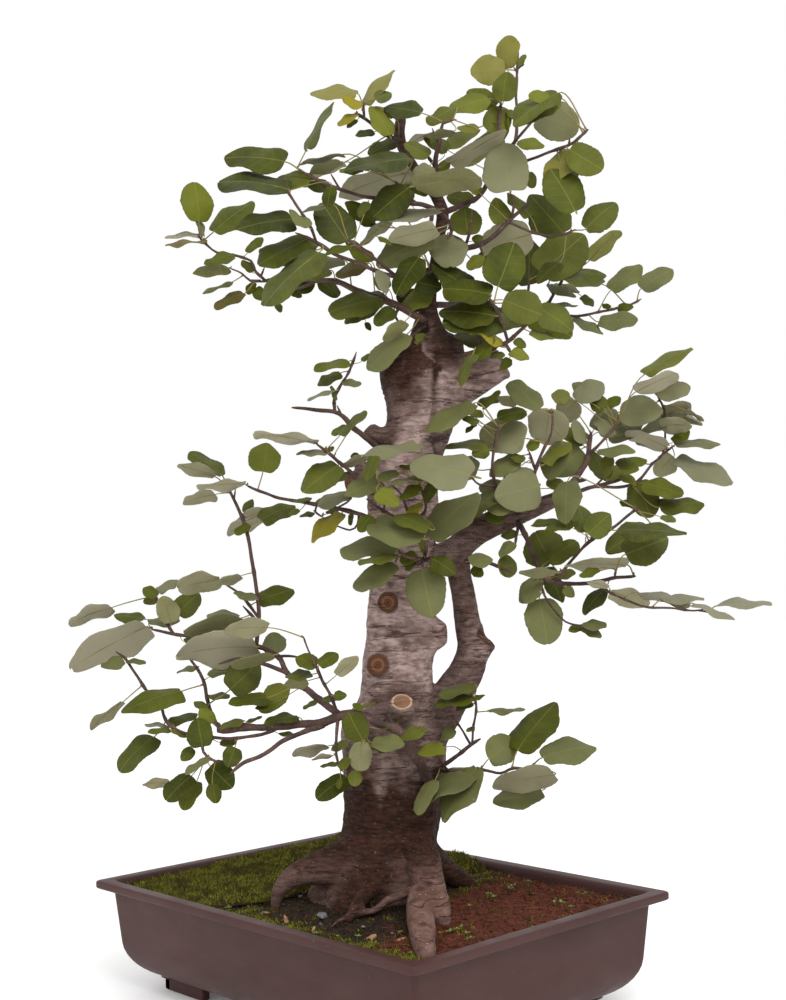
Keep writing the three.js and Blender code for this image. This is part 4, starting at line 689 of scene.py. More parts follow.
# Stones and chips: flattened uneven lumps with worn edges, half sunk in the soil.
def makeLoose(stone, chip):
    draw = np.random.default_rng(12)
    form, faces = crumbForm()
    for (name, (flat, rows)), material in zip(looseThings.items(), (stone, chip)):
        x, y, size = np.array(rows, float).T
        places = np.stack([x, y, soilHeight(x, y) + size * 0.3], -1)
        frames = framesAlong(up + draw.normal(size=(len(x), 3)) * 0.3, draw)
        frames = frames * (size[:, None] * flat)[:, None]
        shape = newShape()
        addCopies(shape, form, faces, frames, places, np.full((len(x), 4), 0.5), 0.35, draw)
        piece = makePiece(name, shape, [material], "soil")
        rounding = piece.modifiers.new("worn", "BEVEL")
        rounding.width = 0.0003
        rounding.segments = 2


# The trunk's outline from the front: height, left edge, right edge.
trunkRows = [
    (78, -70, 76), (100, -60, 66), (128, -43, 62), (158, -26, 66), (190, -24, 69), (225, -24, 73),
    (258, -24, 75), (280, -8, 65), (310, -4, 62), (340, 0, 70), (372, 4, 65), (410, 9, 66),
    (450, 6, 71), (490, 6, 74), (522, 17, 82), (552, 26, 93), (590, 19, 102), (608, 30, 101),
    (620, 40, 99), (627, 54, 90),
]

# Limbs, roots and stubs of the trunk: rows of u, z, v and radius.
limbs = {
    "leader": [(84, 602, -34, 13), (79, 622, -33, 10), (71, 644, -29, 8), (70, 664, -25, 7.4),
        (75, 690, -23, 7.2), (80, 720, -22, 6.8), (84, 742, -20, 7.5), (78, 760, -18, 6.8), (66, 776, -14, 6),
        (55, 793, -10, 6), (47, 808, -8, 6.6), (44, 822, -7, 7), (47, 838, -6, 6.2)],
    "leaderLeg": [(56, 608, -18, 11), (60, 632, -20, 8.5), (68, 654, -24, 7)],
    "rightStub": [(70, 560, -24, 24), (96, 576, -26, 19), (118, 588, -28, 17), (139, 598, -30, 14)],
    "secondTrunk": [(48, 240, -18, 24), (66, 264, -16, 21), (84, 288, -12, 18), (97, 310, -9, 16),
        (101, 330, -7, 14), (97, 352, -6, 12.5), (94, 378, -5, 11.5), (90, 402, -4, 11.5), (92, 422, -3, 13),
        (108, 437, 0, 13.5), (134, 448, 3, 12), (160, 457, 6, 9.5), (181, 465, 8, 7.5), (193, 473, 6, 5)],
    "limbRoot": [(58, 408, -20, 12), (76, 416, -12, 12), (94, 426, -4, 11)],
    "sideStub": [(92, 304, -9, 14), (104, 322, -12, 13), (114, 335, -15, 11.5)],
    "knob": [(50, 340, -26, 20), (66, 341, -28, 16), (77, 341, -30, 10)],
    "upperStub": [(28, 528, -30, 10), (14, 532, -36, 8.5), (8, 538, -40, 8)],
    "lowerStub": [(22, 490, -28, 14), (2, 488, -34, 12), (-14, 487, -40, 8.5)],
    "lowerStubTip": [(2, 500, -34, 7), (-8, 515, -40, 4.2)],
    "cutFront": [(33, 262, -40, 12), (33, 266, -66, 12), (33, 278, -78, 11)],
    "scarLow": [(11, 313, -38, 12), (11, 313, -56, 11), (11, 313, -61, 8.5)],
    "scarHigh": [(22, 372, -36, 11), (22, 372, -54, 10), (22, 372, -59, 8)],
    "leftRoot": [(-20, 128, -36, 24), (-44, 124, -44, 17), (-62, 121, -50, 13), (-76, 115, -52, 10),
        (-86, 104, -50, 8), (-90, 94, -48, 6)],
    "frontRoot": [(44, 146, -44, 17), (50, 124, -66, 16), (55, 104, -86, 14), (60, 90, -102, 12),
        (64, 80, -114, 10)],
    "lowerFrontRoot": [(46, 98, -92, 11), (45, 82, -118, 12), (46, 66, -150, 12), (48, 50, -188, 10),
        (50, 40, -214, 8)],
    "crossingRoot": [(38, 100, -80, 5), (16, 92, -90, 4.2), (0, 82, -98, 3.8), (-20, 78, -104, 3.4),
        (-36, 71, -118, 2.6)],
    "middleRoot": [(0, 108, -58, 12), (-8, 96, -82, 8), (-18, 82, -104, 5)],
    "rightRoot": [(52, 130, -18, 18), (72, 116, -6, 12), (92, 104, 8, 8)],
    "backRoot": [(8, 128, 10, 18), (-12, 122, 40, 12), (-40, 116, 72, 8)],
}

trunkForm = {
    "depth": -24,
    "voxel": 2.2,
    "smoothing": 4,
    "flakes": 0.5,
    "ridges": 1.3,
    "pits": 2.2,
    "grooveDepth": 4.5,
    "darkBelow": 260,
    "darkAndShadedAbove": 530,
    "darkBand": 46,
    "grooveAt": 72,
}

# Cut ends of limbs, seen as round scars: how fresh their wood is, and their radius next to the limb's own.
cutEnds = {
    "rightStub": (0.1, 1), "sideStub": (0, 1), "lowerStub": (0.1, 1), "cutFront": (1, 0.86),
    "scarLow": (0.1, 1.3), "scarHigh": (0.1, 1.35),
}

# How dark the bark of each limb is, next to the trunk's own.
limbDark = {
    "leader": 0.9, "leaderLeg": 0.95, "secondTrunk": 0.72, "limbRoot": 0.6, "sideStub": 0.3, "knob": 0.12,
    "upperStub": 0.75, "lowerStub": 0.3, "lowerStubTip": 0.5, "rightStub": 0.12, "cutFront": 0.6,
}

# How light the bark is of roots that lie bare.
rootLight = {"frontRoot": 0.55, "lowerFrontRoot": 0.55, "crossingRoot": 0.3, "leftRoot": 0.42}

# Roots run on underground: a last row for each.
rootTails = {
    "leftRoot": (-92, 80, -46, 4),
    "frontRoot": (68, 60, -120, 6),
    "lowerFrontRoot": (51, 22, -222, 4),
    "crossingRoot": (-46, 58, -122, 1.6),
    "middleRoot": (-22, 70, -110, 3),
    "rightRoot": (100, 84, 14, 4),
    "backRoot": (-56, 96, 84, 4),
}


# The trunk's column: ridges fade in towards the roots, five to a turn, and it is a little flatter in depth.
def columnPoints(sides, spacing):
    rows = smoothRows([(z, left, right) for z, left, right in trunkRows], spacing)
    z, left, right = (rows[:, k : k + 1] for k in range(3))
    turn = np.linspace(0, 2 * np.pi, sides, endpoint=False)[None]
    ridge = 0.17 * np.clip((170 - z) / 80, 0, 1) + 0.02
    reach = (right - left) / 2 * (1 - ridge * (0.5 + 0.5 * np.cos(5 * turn + z / 160)))
    middle = place(np.concatenate([(left + right) / 2, z, np.full_like(z, trunkForm["depth"])], axis=1))
    level = across * (reach * np.cos(turn))[..., None] + away * (0.92 * reach * np.sin(turn))[..., None]
    return middle, middle[:, None] + level


# Closed tubes are rebuilt as one mesh on a fine grid of cubes, so that limbs and roots run into the trunk.
def woodSkin():
    shape = newShape()
    middle, rings = columnPoints(64, 4)
    addLoft(shape, rings, middle[:1], middle[-1:])
    lines = [(middle, np.linalg.norm(rings - middle[:, None], axis=-1).mean(axis=1))]
    for name, rows in limbs.items():
        path = smoothRows([*rows, rootTails[name]] if name in rootTails else rows, 4)
        if name == "leader":
            path[:, 3] *= 0.84
        lines.append((place(path[:, :3]), path[:, 3]))
        addTube(shape, *lines[-1], 24)
    mesh = bpy.data.meshes.new("woodCore")
    faces = [face for group in shape["faces"] for face in group.tolist()]
    mesh.from_pydata((np.concatenate(shape["points"]) / 1000).tolist(), [], faces)
    core = linked(bpy.data.objects.new("woodCore", mesh))
    remesh = core.modifiers.new("blend", "REMESH")
    remesh.mode = "VOXEL"
    remesh.voxel_size = trunkForm["voxel"] / 1000
    skin = core.evaluated_get(bpy.context.evaluated_depsgraph_get()).to_mesh()
    points = np.zeros(len(skin.vertices) * 3)
    skin.vertices.foreach_get("co", points)
    corners = np.zeros(len(skin.loops), int)
    skin.loops.foreach_get("vertex_index", corners)
    edges = np.zeros(len(skin.edges) * 2, int)
    skin.edges.foreach_get("vertices", edges)
    bpy.data.objects.remove(core)
    return points.reshape(-1, 3) * 1000, corners.reshape(-1, 4), edges.reshape(-1, 2), lines


# Each point's values move towards the mean of its neighbours' values.
def smoothed(values, edges, times):
    links = np.bincount(edges.ravel(), minlength=len(values))[:, None]
    for _ in range(times):
        total = np.stack([
            np.bincount(edges[:, 0], column[edges[:, 1]], len(values))
            + np.bincount(edges[:, 1], column[edges[:, 0]], len(values))
            for column in values.T
        ], -1)
        values = values * 0.45 + total / np.maximum(links, 1) * 0.55
    return values


# Outward directions at the points: the sum of the areas of the faces around each.
def outward(points, faces):
    a, b, c, d = (points[faces[:, k]] for k in range(4))
    area = np.cross(c - a, d - b)
    corners = faces.ravel()
    return unit(np.stack([np.bincount(corners, np.repeat(column, 4), len(points)) for column in area.T], -1))


# Each point's limb, its place along it and its way out from it, so that bark runs round its own limb.
def barkPlaces(points, lines):
    sites = np.concatenate([line for line, _ in lines])
    ways = np.concatenate([unit(np.gradient(line, axis=0)) for line, _ in lines])
    runs = [np.cumsum(np.linalg.norm(np.diff(line, axis=0, prepend=line[:1]), axis=1)) for line, _ in lines]
    lengths = np.concatenate([run + 400 * k for k, run in enumerate(runs)])
    owners = np.concatenate([np.full(len(line), k) for k, (line, _) in enumerate(lines)])
    radii = np.concatenate([radius for _, radius in lines])
    tree = searchTree(sites)
    nearest = (tree.find_n(point, 6) for point in points)
    best = np.array([min(found, key=lambda site: site[2] - radii[site[1]])[1] for found in nearest])
    way = ways[best]
    off = points - sites[best]
    along = lengths[best] + np.einsum("ij,ij->i", off, way)
    level = off - way * np.einsum("ij,ij->i", off, way)[:, None]
    return owners[best], along, level


# Cut ends are flat discs: within the limb's radius, points are drawn to the plane across its end, which is
# dished and ringed. Also each point's share of the way to the disc's edge, and how fresh its cut is.
def flattened(points):
    near, fresh = np.full(len(points), 9.0), np.zeros(len(points))
    for name, (own, spread) in cutEnds.items():
        rows = np.array(limbs[name], float)
        end, before = place(rows[-1:, :3])[0], place(rows[-2:-1, :3])[0]
        way = unit(end - before)
        off = points - end
        height = off @ way
        radial = np.linalg.norm(off - height[:, None] * way, axis=1) / rows[-1, 3] / spread
        inside = (np.abs(height) < rows[-1, 3]) & (height > -5)
        share = np.clip((1.12 - radial) / 0.3, 0, 1) * inside
        dish = 0.9 * np.clip(radial - 0.55, 0, 0.4) - 0.5 * np.cos(radial * 19) * (radial < 0.8) - 0.4
        points = points + way * ((dish - height) * share)[:, None]
        reach = np.where(inside, radial, 9.0)
        fresh = np.where(reach < near, own, fresh)
        near = np.minimum(near, reach)
    return points, near, fresh


# The trunk's skin: smoothed, its cuts flattened, then pushed out and in by flakes, lumps, pits and a groove.
# Its tones: how dark (darker bark low down and at the column's top, where painted shade from the crown is
# added, and painted shade in the groove), how near to a cut's middle, how reddish, and where the stripes of
# the bark lie.
def makeTrunk(material):
    form = trunkForm
    points, faces, edges, lines = woodSkin()
    points = smoothed(points, edges, form["smoothing"])
    points, near, fresh = flattened(points)
    owners, along, level = barkPlaces(points, lines)
    height = points[:, 2]
    sheet = level + up * along[:, None]
    waver = 24 * rough(points / [16, 16, 30], 3, 5)
    low = np.clip((form["darkBelow"] - height + waver) / form["darkBand"], 0, 1)
    # Towards the column's top the bark turns darker, and this dark is also painted shade from the crown.
    high = np.clip((height - form["darkAndShadedAbove"] + 0.8 * waver) / 56, 0, 1) * (owners == 0)
    shares = np.array([[0, 0]] + [[limbDark.get(name, 0), rootLight.get(name, 0)] for name in limbs])
    own, bare = smoothed(shares[owners], edges, 14).T
    dark = np.maximum.reduce([low, high, own]) * (1 - bare * np.clip((150 - height) / 30, 0, 1))
    thick = np.clip(np.linalg.norm(level, axis=1) / 26, 0.35, 1)
    stripes = rough(sheet / [9, 9, 2.6], 3, 11)
    lumps = rough(points / 17, 3, 12)
    pits = np.maximum(rough(sheet / [7, 7, 3.2], 2, 13) - 0.62, 0)
    uneven = form["flakes"] * np.maximum(stripes, -0.2) + form["ridges"] * thick * lumps * 0.8
    push = thick * (uneven - form["pits"] * pits)
    front = (points - potMiddle) @ across
    groove = np.exp(-(((front - form["grooveAt"] - 2.5 * np.sin(height / 23)) / 3.2) ** 2))
    groove = groove * np.clip((height - 470) / 40, 0, 1) * np.clip((610 - height) / 20, 0, 1)
    groove = groove * ((points @ away) < -20)
    push = push - form["grooveDepth"] * groove - low * 1.5 * np.maximum(rough(points / 30, 2, 14), 0)
    push = push * np.clip((near - 0.85) * 4, 0, 1) + 0.9 * np.exp(-(((near - 1.1) / 0.14) ** 2))
    points = points + outward(points, faces) * push[:, None]
    cut = np.clip((1.02 - near) * 8, 0, 1)
    reddish = np.where(cut > 0, fresh, np.clip(1.6 * bare, 0, 1))
    striped = np.clip(0.5 + 0.4 * stripes, 0, 1)
    # The groove is also painted darker: painted shade in the recess.
    tone = np.stack([np.clip(dark + 0.5 * groove, 0, 1), cut, reddish, striped], -1)
    shape = newShape()
    addPart(shape, points, faces, 0, np.stack([along, near], -1) / 100, tone)
    makePiece("trunkBark", shape, [material], "trunk", "trunk")


# Leafy sprays: twigs in rows of u, z, v and radius, leaves in rows of base u, base z, tip u,
# tip z, the width that shows (below zero where the underside shows) and any shift in depth.
sprays = {"lowLeftSpray": {
    "looks": "opppogpwowggoopgogppwggooopogpoodwoodbooopdogdddoobodoooowwodoogodoogoooooooggwooogo",
    "twigs": [
        [(58, 200, -50, 6.5), (50, 216, -72, 6), (42, 230, -80, 5.6), (35, 243, -84, 5.2),
         (27, 252, -86, 5.2), (14, 256, -86, 4.8), (2, 263, -84, 5), (-12, 268, -82, 5.2),
         (-28, 265, -78, 5.6), (-45, 259, -75, 5), (-62, 259, -71, 4.6), (-80, 258, -67, 4.6),
         (-100, 257, -63, 4.3), (-122, 257, -59, 4.8), (-143, 255, -56, 5.2)],
        [(-42, 258, -75, 4), (-62, 251, -88, 3), (-82, 243, -102, 2.8), (-95, 233, -111, 2.6),
         (-118, 224, -126, 2.3), (-131, 214, -133, 1.6)],
        [(-86, 256, -66, 2.4), (-100, 251, -64, 2), (-125, 247, -60, 1.9), (-145, 249, -58, 2),
         (-166, 252, -56, 2), (-187, 261, -42, 2), (-198, 282, 37, 2), (-209, 295, 44, 1.9),
         (-222, 315, 50, 1.8), (-229, 326, 52, 1.7), (-237, 332, 54, 1.2)],
        [(-145, 249, -58, 1.8), (-157, 240, -67, 1.4), (-152, 230, -70, 1.2), (-139, 224, -70, 1)],
        [(-140, 256, -56, 3.2), (-148, 272, 2, 2.6), (-152, 286, 6, 2.2), (-154, 300, 8, 2),
         (-163, 318, 16, 1.8), (-172, 332, 25, 1.6)],
        [(-27, 266, -78, 4.6), (-45, 282, -58, 4), (-62, 295, -40, 3.8), (-76, 309, -25, 3.4),
         (-84, 324, -15, 3), (-105, 334, 1, 2.6), (-128, 338, 17, 2.4), (-150, 342, 32, 2.3),
         (-182, 347, 52, 2.2), (-203, 352, 65, 1.6)],
        [(-74, 307, -28, 3), (-98, 317, -21, 2.6), (-122, 322, -16, 2), (-140, 318, -11, 1.4)],
        [(-28, 268, -79, 2.2), (-34, 285, -86, 1.8), (-42, 300, -92, 1.6), (-47, 312, -96, 1.3),
         (-55, 330, -98, 1.1), (-59, 342, -98, 0.9)],
        [(-84, 324, -15, 1.8), (-64, 323, -32, 1.3)],
        [(-182, 347, 52, 2), (-188, 357, 58, 1.8), (-196, 376, 66, 1.6), (-199, 385, 69, 1.2)],
        [(-104, 334, 0, 2.7), (-101, 360, 3, 2.6), (-102, 380, 7, 2.6), (-104, 400, 11, 2.4),
         (-108, 430, 18, 2.3), (-112, 450, 23, 2.2), (-118, 465, 30, 2), (-122, 474, 33, 1.8),
         (-129, 487, 40, 1.3)],
        [(-102, 362, 3, 1.9), (-118, 383, 14, 1.6), (-133, 394, 22, 1.1)],
        [(-101, 356, 4, 1.8), (-116, 372, 4, 1.4)],
        [(-122, 474, 33, 1.3), (-120, 485, 29, 1)],
        [(-28, 265, -78, 2.2), (-30, 244, -88, 1.6), (-30, 228, -92, 1.2), (-26, 214, -94, 1)],
        [(2, 262, -85, 2), (-2, 250, -94, 1.6), (-4, 243, -97, 1.2)]],
    "leaves": [(-133, 497, -163, 521, 17), (-140, 496, -174, 509, -14), (-140, 479, -171, 472, -13),
        (-117, 401, -140, 394, -9), (-102, 376, -67, 388, 20), (-103, 378, -124, 386, 8),
        (-137, 398, -177, 392, -22), (-240, 374, -281, 361, -15), (-210, 362, -238, 367, 12),
        (-208, 355, -280, 320, -32), (-230, 324, -251, 318, 12), (-227, 323, -209, 321, 5),
        (-197, 383, -210, 392, 12), (-197, 382, -210, 378, -10), (-196, 387, -177, 399, 10),
        (-184, 358, -191, 384, -22), (-178, 366, -157, 386, 22), (-116, 352, -172, 353, -26),
        (-92, 351, -134, 352, -20), (-120, 361, -150, 366, 11), (-103, 333, -180, 331, -34),
        (-86, 327, -89, 347, 24), (-88, 325, -128, 316, -12), (-130, 293, -101, 319, 36),
        (-47, 314, -67, 323, 16), (-45, 314, -27, 326, 13), (-28, 305, -8, 322, -14),
        (-52, 306, -77, 304, 10), (-56, 300, -78, 297, -13), (-232, 284, -263, 261, -11),
        (-176, 293, -232, 278, 20), (-199, 281, -182, 284, 4), (-187, 263, -161, 272, 10),
        (-188, 259, -211, 264, 5), (-187, 257, -208, 256, 6), (-185, 257, -172, 250, 6),
        (-157, 240, -161, 269, 26), (-147, 262, -158, 277, 14), (-152, 276, -164, 283, 8),
        (-202, 251, -236, 222, 22), (-166, 239, -177, 228, 13), (-190, 207, -214, 208, -10),
        (-168, 213, -192, 192, 22), (-163, 208, -176, 182, 17), (-152, 230, -174, 216, 8),
        (-150, 222, -130, 201, 27), (-148, 205, -145, 187, 14), (-126, 239, -133, 221, 19),
        (-140, 244, -125, 243, 8), (-95, 285, -131, 282, 13), (-77, 297, -102, 273, 22),
        (-88, 280, -106, 275, 9), (-66, 266, -98, 263, 10), (-118, 264, -140, 258, 8),
        (-114, 262, -100, 268, 4), (-150, 288, -130, 287, 7), (-84, 251, -70, 250, 4),
        (-38, 238, -72, 231, -10), (-34, 229, -54, 226, -5), (-29, 221, -46, 219, 4),
        (-22, 208, -50, 190, 22), (-12, 214, -14, 200, 14), (-27, 207, -29, 197, 6), (-6, 241, -9, 214, -23),
        (-19, 227, -27, 216, 10), (-5, 243, -18, 269, 26), (-20, 241, -35, 234, 9), (54, 253, 31, 242, 12),
        (4, 240, 34, 239, 16), (5, 236, 21, 231, 7), (-31, 285, -19, 285, 10), (-5, 271, -13, 278, 6),
        (-4, 274, 8, 278, 4), (-47, 281, -61, 274, 5), (-28, 284, -43, 281, -7), (12, 253, 29, 258, 5),
        (-160, 316, -180, 312, 5), (-149, 306, -128, 318, 10), (-90, 462, -130, 442, -17),
        (-108, 449, -122, 441, 9), (-97, 453, -64, 468, 17), (-112, 461, -105, 474, 9),
        (-205, 358, -176, 361, 9), (-172, 340, -156, 342, 8)],
}, "midLeftSpray": {
    "looks": "bwyooopooo",
    "twigs": [
        [(14, 448, -30, 3.2), (0, 456, -30, 2.7), (-25, 463, -15, 2.4), (-50, 468, 1, 2.2), (-75, 473, 18, 2),
         (-98, 481, 34, 1.8), (-110, 487, 42, 1.2)],
        [(-3, 457, -28, 1.6), (-5, 447, -28, 1.3), (-12, 442, -25, 1.2), (-28, 447, -16, 0.9)],
        [(-42, 467, -4, 1.3), (-45, 460, -4, 1.1), (-37, 454, -12, 0.9)],
        [(-24, 463, -16, 1.3), (-12, 470, -27, 1.1), (-10, 478, -30, 0.9)]],
    "leaves": [(-94, 499, -89, 528, 30), (-112, 488, -157, 488, -11), (-20, 458, -50, 433, 15),
        (-11, 457, -12, 446, 6), (-46, 459, -60, 456, 5), (-45, 467, -30, 474, 6), (-12, 477, -42, 466, 14),
        (-34, 458, -20, 463, 6), (-60, 462, -70, 458, 6), (-62, 470, -48, 474, 5)],
}, "trunkLeftSpray": {
    "looks": "wpooopoo",
    "twigs": [
        [(24, 468, -32, 3.4), (-3, 486, -52, 2.6), (-10, 497, -60, 2.2), (-20, 506, -67, 2),
         (-27, 513, -77, 1.8), (-35, 519, -78, 1.4), (-44, 526, -78, 1)]],
    "leaves": [(-43, 526, -101, 537, -10), (-32, 515, -62, 517, 7), (-22, 504, -57, 480, 25),
        (-20, 532, 5, 556, 10), (-12, 540, -28, 534, 9), (12, 513, -20, 503, -8, -18),
        (-12, 497, -27, 488, 8), (-31, 517, -26, 522, 5)],
}, "upLeftSpray": {
    "looks": "oogpoo",
    "twigs": [
        [(28, 508, -34, 4.2), (4, 530, -54, 3.6), (-6, 538, -60, 3.3), (-14, 547, -62, 3),
         (-25, 555, -64, 2.6), (-42, 557, -66, 2.2), (-65, 560, -68, 1.5)],
        [(-24, 555, -64, 2), (-24, 568, -62, 1.8), (-18, 580, -60, 1.6), (-10, 592, -58, 1.4),
         (-5, 604, -56, 1.2), (-2, 612, -56, 0.9)],
        [(-18, 551, -63, 1.6), (-22, 561, -66, 1.2)]],
    "leaves": [(-10, 603, -43, 596, 10), (-18, 592, -40, 581, 11), (-16, 583, 2, 581, 7),
        (-22, 576, -50, 567, 4), (-23, 566, -26, 580, 5), (3, 603, 11, 610, 5)],
}, "frontSpray": {
    "looks": "ggobogogdog",
    "twigs": [
        [(50, 406, -36, 3.4), (56, 412, -74, 2.6), (48, 413, -90, 2.2), (38, 416, -98, 1.8),
         (33, 421, -102, 1.4)],
        [(56, 411, -74, 2), (60, 421, -88, 1.6), (60, 433, -96, 1.3)],
        [(55, 411, -76, 2), (67, 413, -86, 1.7), (76, 407, -94, 1.2)],
        [(34, 419, -100, 1.4), (30, 410, -106, 1.1)],
        [(56, 412, -80, 1.6), (56, 403, -100, 1.3)]],
    "leaves": [(32, 421, -23, 427, 25), (57, 432, 5, 449, 30), (8, 455, -4, 440, 14), (58, 415, 55, 439, 9),
        (33, 417, -5, 411, 8), (30, 408, -10, 387, 21), (50, 418, 35, 410, 12), (55, 403, 64, 358, 40),
        (66, 412, 87, 398, 19), (48, 411, 40, 402, 8), (61, 433, 110, 477, 32)],
}, "upperFrontSpray": {
    "looks": "pogbyoggooog",
    "twigs": [
        [(46, 444, -50, 3.2), (40, 451, -76, 2.7), (30, 453, -90, 2.3), (12, 465, -104, 1.9),
         (4, 471, -110, 1.3)],
        [(42, 450, -74, 2), (42, 461, -92, 1.7), (36, 476, -102, 1.4), (28, 483, -106, 1.1)],
        [(43, 448, -62, 2.4), (58, 455, -82, 1.8), (60, 469, -94, 1.5), (54, 483, -100, 1.1)],
        [(20, 459, -100, 1.3), (22, 476, -114, 1.1), (14, 490, -120, 1)]],
    "leaves": [(55, 522, 0, 513, 12), (13, 512, 4, 488, 13), (18, 489, -17, 475, 20), (15, 478, 35, 464, 18),
        (56, 466, 42, 452, 9), (55, 483, 36, 470, 11), (58, 490, 27, 486, 5), (35, 496, 15, 490, 10),
        (48, 499, 36, 502, 5), (70, 487, 60, 466, 13), (64, 441, 30, 456, 17, -12), (90, 491, 46, 488, -9)],
}, "lowRightSpray": {
    "looks": "oooogoggpgggbgog",
    "twigs": [
        [(56, 216, -30, 2.8), (75, 212, -52, 2.2), (90, 212, -60, 1.9), (103, 213, -66, 1.8),
         (113, 211, -70, 1.7), (125, 208, -74, 1.6), (137, 213, -78, 1.5), (150, 212, -82, 1.3),
         (156, 215, -84, 1)],
        [(60, 212, -30, 3), (74, 219, -46, 2.6), (88, 229, -50, 2.4), (98, 236, -52, 2.2),
         (107, 241, -54, 1.8)],
        [(98, 236, -52, 1.6), (100, 252, -56, 1.3), (103, 266, -60, 1.2), (103, 276, -62, 1.1),
         (99, 284, -64, 0.9)],
        [(97, 236, -52, 1.5), (90, 248, -50, 1.3), (83, 259, -52, 1)],
        [(75, 212, -52, 1.6), (68, 222, -72, 1.3), (66, 236, -78, 1.1)]],
    "leaves": [(99, 281, 65, 274, 12), (103, 292, 68, 283, 10), (99, 278, 112, 283, 5),
        (100, 275, 84, 269, 6), (115, 267, 150, 269, 6), (141, 229, 179, 275, 34), (114, 222, 140, 240, 31),
        (165, 222, 216, 234, 25), (176, 206, 116, 196, -24), (163, 191, 117, 181, 24),
        (101, 213, 68, 166, 28), (62, 203, 43, 173, 15, -14), (72, 234, 47, 229, 14, -10),
        (81, 252, 66, 241, 13), (101, 251, 93, 249, 5)],
    "more": [(102, 214, 40, 180, 19, -8)],
}, "rightUpperSpray": {
    "looks": "bwpppwpppoowwgogoppboooogbppopbbogpppg",
    "twigs": [
        [(197, 477, 5, 4.2), (210, 493, 24, 3.6), (216, 505, 34, 3.2), (218, 518, 40, 2.7),
         (220, 529, 45, 2.1)],
        [(216, 507, 35, 2.2), (226, 516, 30, 1.8), (234, 524, 33, 1.5), (248, 539, 39, 1.1)],
        [(203, 483, 12, 2.6), (214, 484, 23, 2.3)],
        [(196, 474, 4, 3.4), (205, 473, 12, 2.8), (222, 477, 28, 2.4), (240, 476, 40, 2.1),
         (258, 478, 52, 1.9), (268, 486, 57, 1.7), (278, 498, 62, 1.6), (288, 507, 67, 1.5),
         (291, 530, 66, 1.4), (290, 550, 63, 1.2), (284, 563, 56, 1)],
        [(222, 477, 28, 2.3), (238, 481, 44, 2), (251, 485, 58, 1.8)],
        [(222, 477, 28, 1.5), (231, 486, 30, 1.1)],
        [(288, 507, 67, 1.3), (298, 514, 72, 1.1)]],
    "leaves": [(272, 583, 317, 609, 14), (264, 567, 303, 584, -17), (282, 566, 316, 570, 22),
        (288, 541, 315, 555, -20), (286, 534, 316, 534, -17), (311, 548, 328, 537, -5),
        (248, 548, 288, 548, 29), (248, 544, 219, 536, 23), (206, 561, 233, 576, 23),
        (233, 551, 221, 565, 17), (235, 552, 248, 563, 11), (292, 513, 254, 531, -15),
        (290, 511, 262, 521, 8), (300, 515, 342, 516, 10), (298, 518, 313, 529, 11), (226, 511, 261, 511, 11),
        (244, 496, 272, 503, 13), (298, 504, 280, 487, -21), (299, 502, 351, 477, 19),
        (262, 497, 230, 485, 15), (262, 481, 275, 447, 32), (268, 479, 305, 468, 17),
        (283, 456, 325, 460, 18), (262, 459, 245, 463, 9), (210, 513, 182, 490, 31), (215, 521, 190, 533, 18),
        (212, 518, 205, 543, 13), (206, 560, 189, 541, -25), (200, 562, 183, 566, -15),
        (240, 525, 226, 543, 14), (236, 507, 232, 488, 12), (247, 488, 262, 478, 9)],
    "more": [(233, 485, 220, 512, 19, 14), (227, 529, 255, 532, 13, 8), (269, 542, 238, 521, 19, 12),
        (294, 541, 267, 526, 13, 8), (298, 547, 326, 534, 8, 0), (229, 562, 204, 578, 17, 10)],
}, "rightLowerSpray": {
    "looks": "gooogggdoopodwgogodopwwwwoogoooog",
    "twigs": [
        [(148, 446, -4, 3.4), (156, 428, -30, 2.9), (166, 402, -44, 2.6), (178, 388, -50, 2.5),
         (205, 385, -61, 2.4), (225, 387, -70, 2.2), (240, 390, -75, 2), (258, 391, -81, 1.9)],
        [(182, 388, -51, 2), (192, 401, -57, 1.9), (208, 419, -64, 1.8), (223, 430, -69, 1.7),
         (240, 439, -75, 1.7), (252, 448, -80, 1.8), (262, 456, -84, 1.6)],
        [(212, 385, -64, 1.7), (222, 383, -71, 1.5), (235, 375, -78, 1.4), (258, 364, -89, 1.4),
         (270, 361, -96, 1.3), (290, 360, -106, 1.2), (312, 357, -117, 1.1), (323, 358, -121, 1)],
        [(316, 357, -118, 1), (335, 354, -126, 0.8)],
        [(238, 390, -75, 1.1), (240, 399, -81, 0.9)],
        [(166, 402, -44, 1.6), (171, 375, -52, 1.3), (186, 353, -57, 1.2), (197, 347, -62, 1.2),
         (207, 345, -66, 1.2)],
        [(166, 402, -44, 1.5), (163, 390, -50, 1.3)],
        [(149, 443, -9, 2.4), (146, 432, -26, 1.6), (145, 424, -32, 1.1)]],
    "leaves": [(196, 483, 192, 443, 27), (214, 432, 236, 452, 25), (212, 434, 206, 461, 21),
        (178, 406, 163, 437, 42), (182, 396, 148, 399, -11), (166, 372, 172, 330, 37),
        (165, 392, 152, 368, 19), (172, 401, 188, 368, 21), (190, 382, 199, 373, -11),
        (184, 393, 201, 397, -10), (250, 402, 192, 405, -13), (223, 399, 205, 392, 8),
        (229, 380, 207, 357, 15), (232, 381, 212, 388, -8), (207, 345, 229, 347, 11), (208, 345, 193, 341, 8),
        (207, 343, 224, 335, 9), (249, 412, 290, 427, 35), (242, 435, 306, 432, 17), (284, 447, 298, 443, 7),
        (234, 377, 270, 364, -18), (282, 368, 322, 370, 9), (262, 375, 308, 363, 10), (312, 364, 350, 349, 7),
        (334, 361, 385, 366, 10), (186, 446, 160, 442, 9), (196, 441, 188, 447, 6), (143, 426, 129, 413, 11),
        (147, 433, 131, 434, 9)],
    "more": [(273, 436, 231, 417, 27, 12), (175, 407, 203, 427, 21, 12), (204, 446, 173, 437, 11, 8),
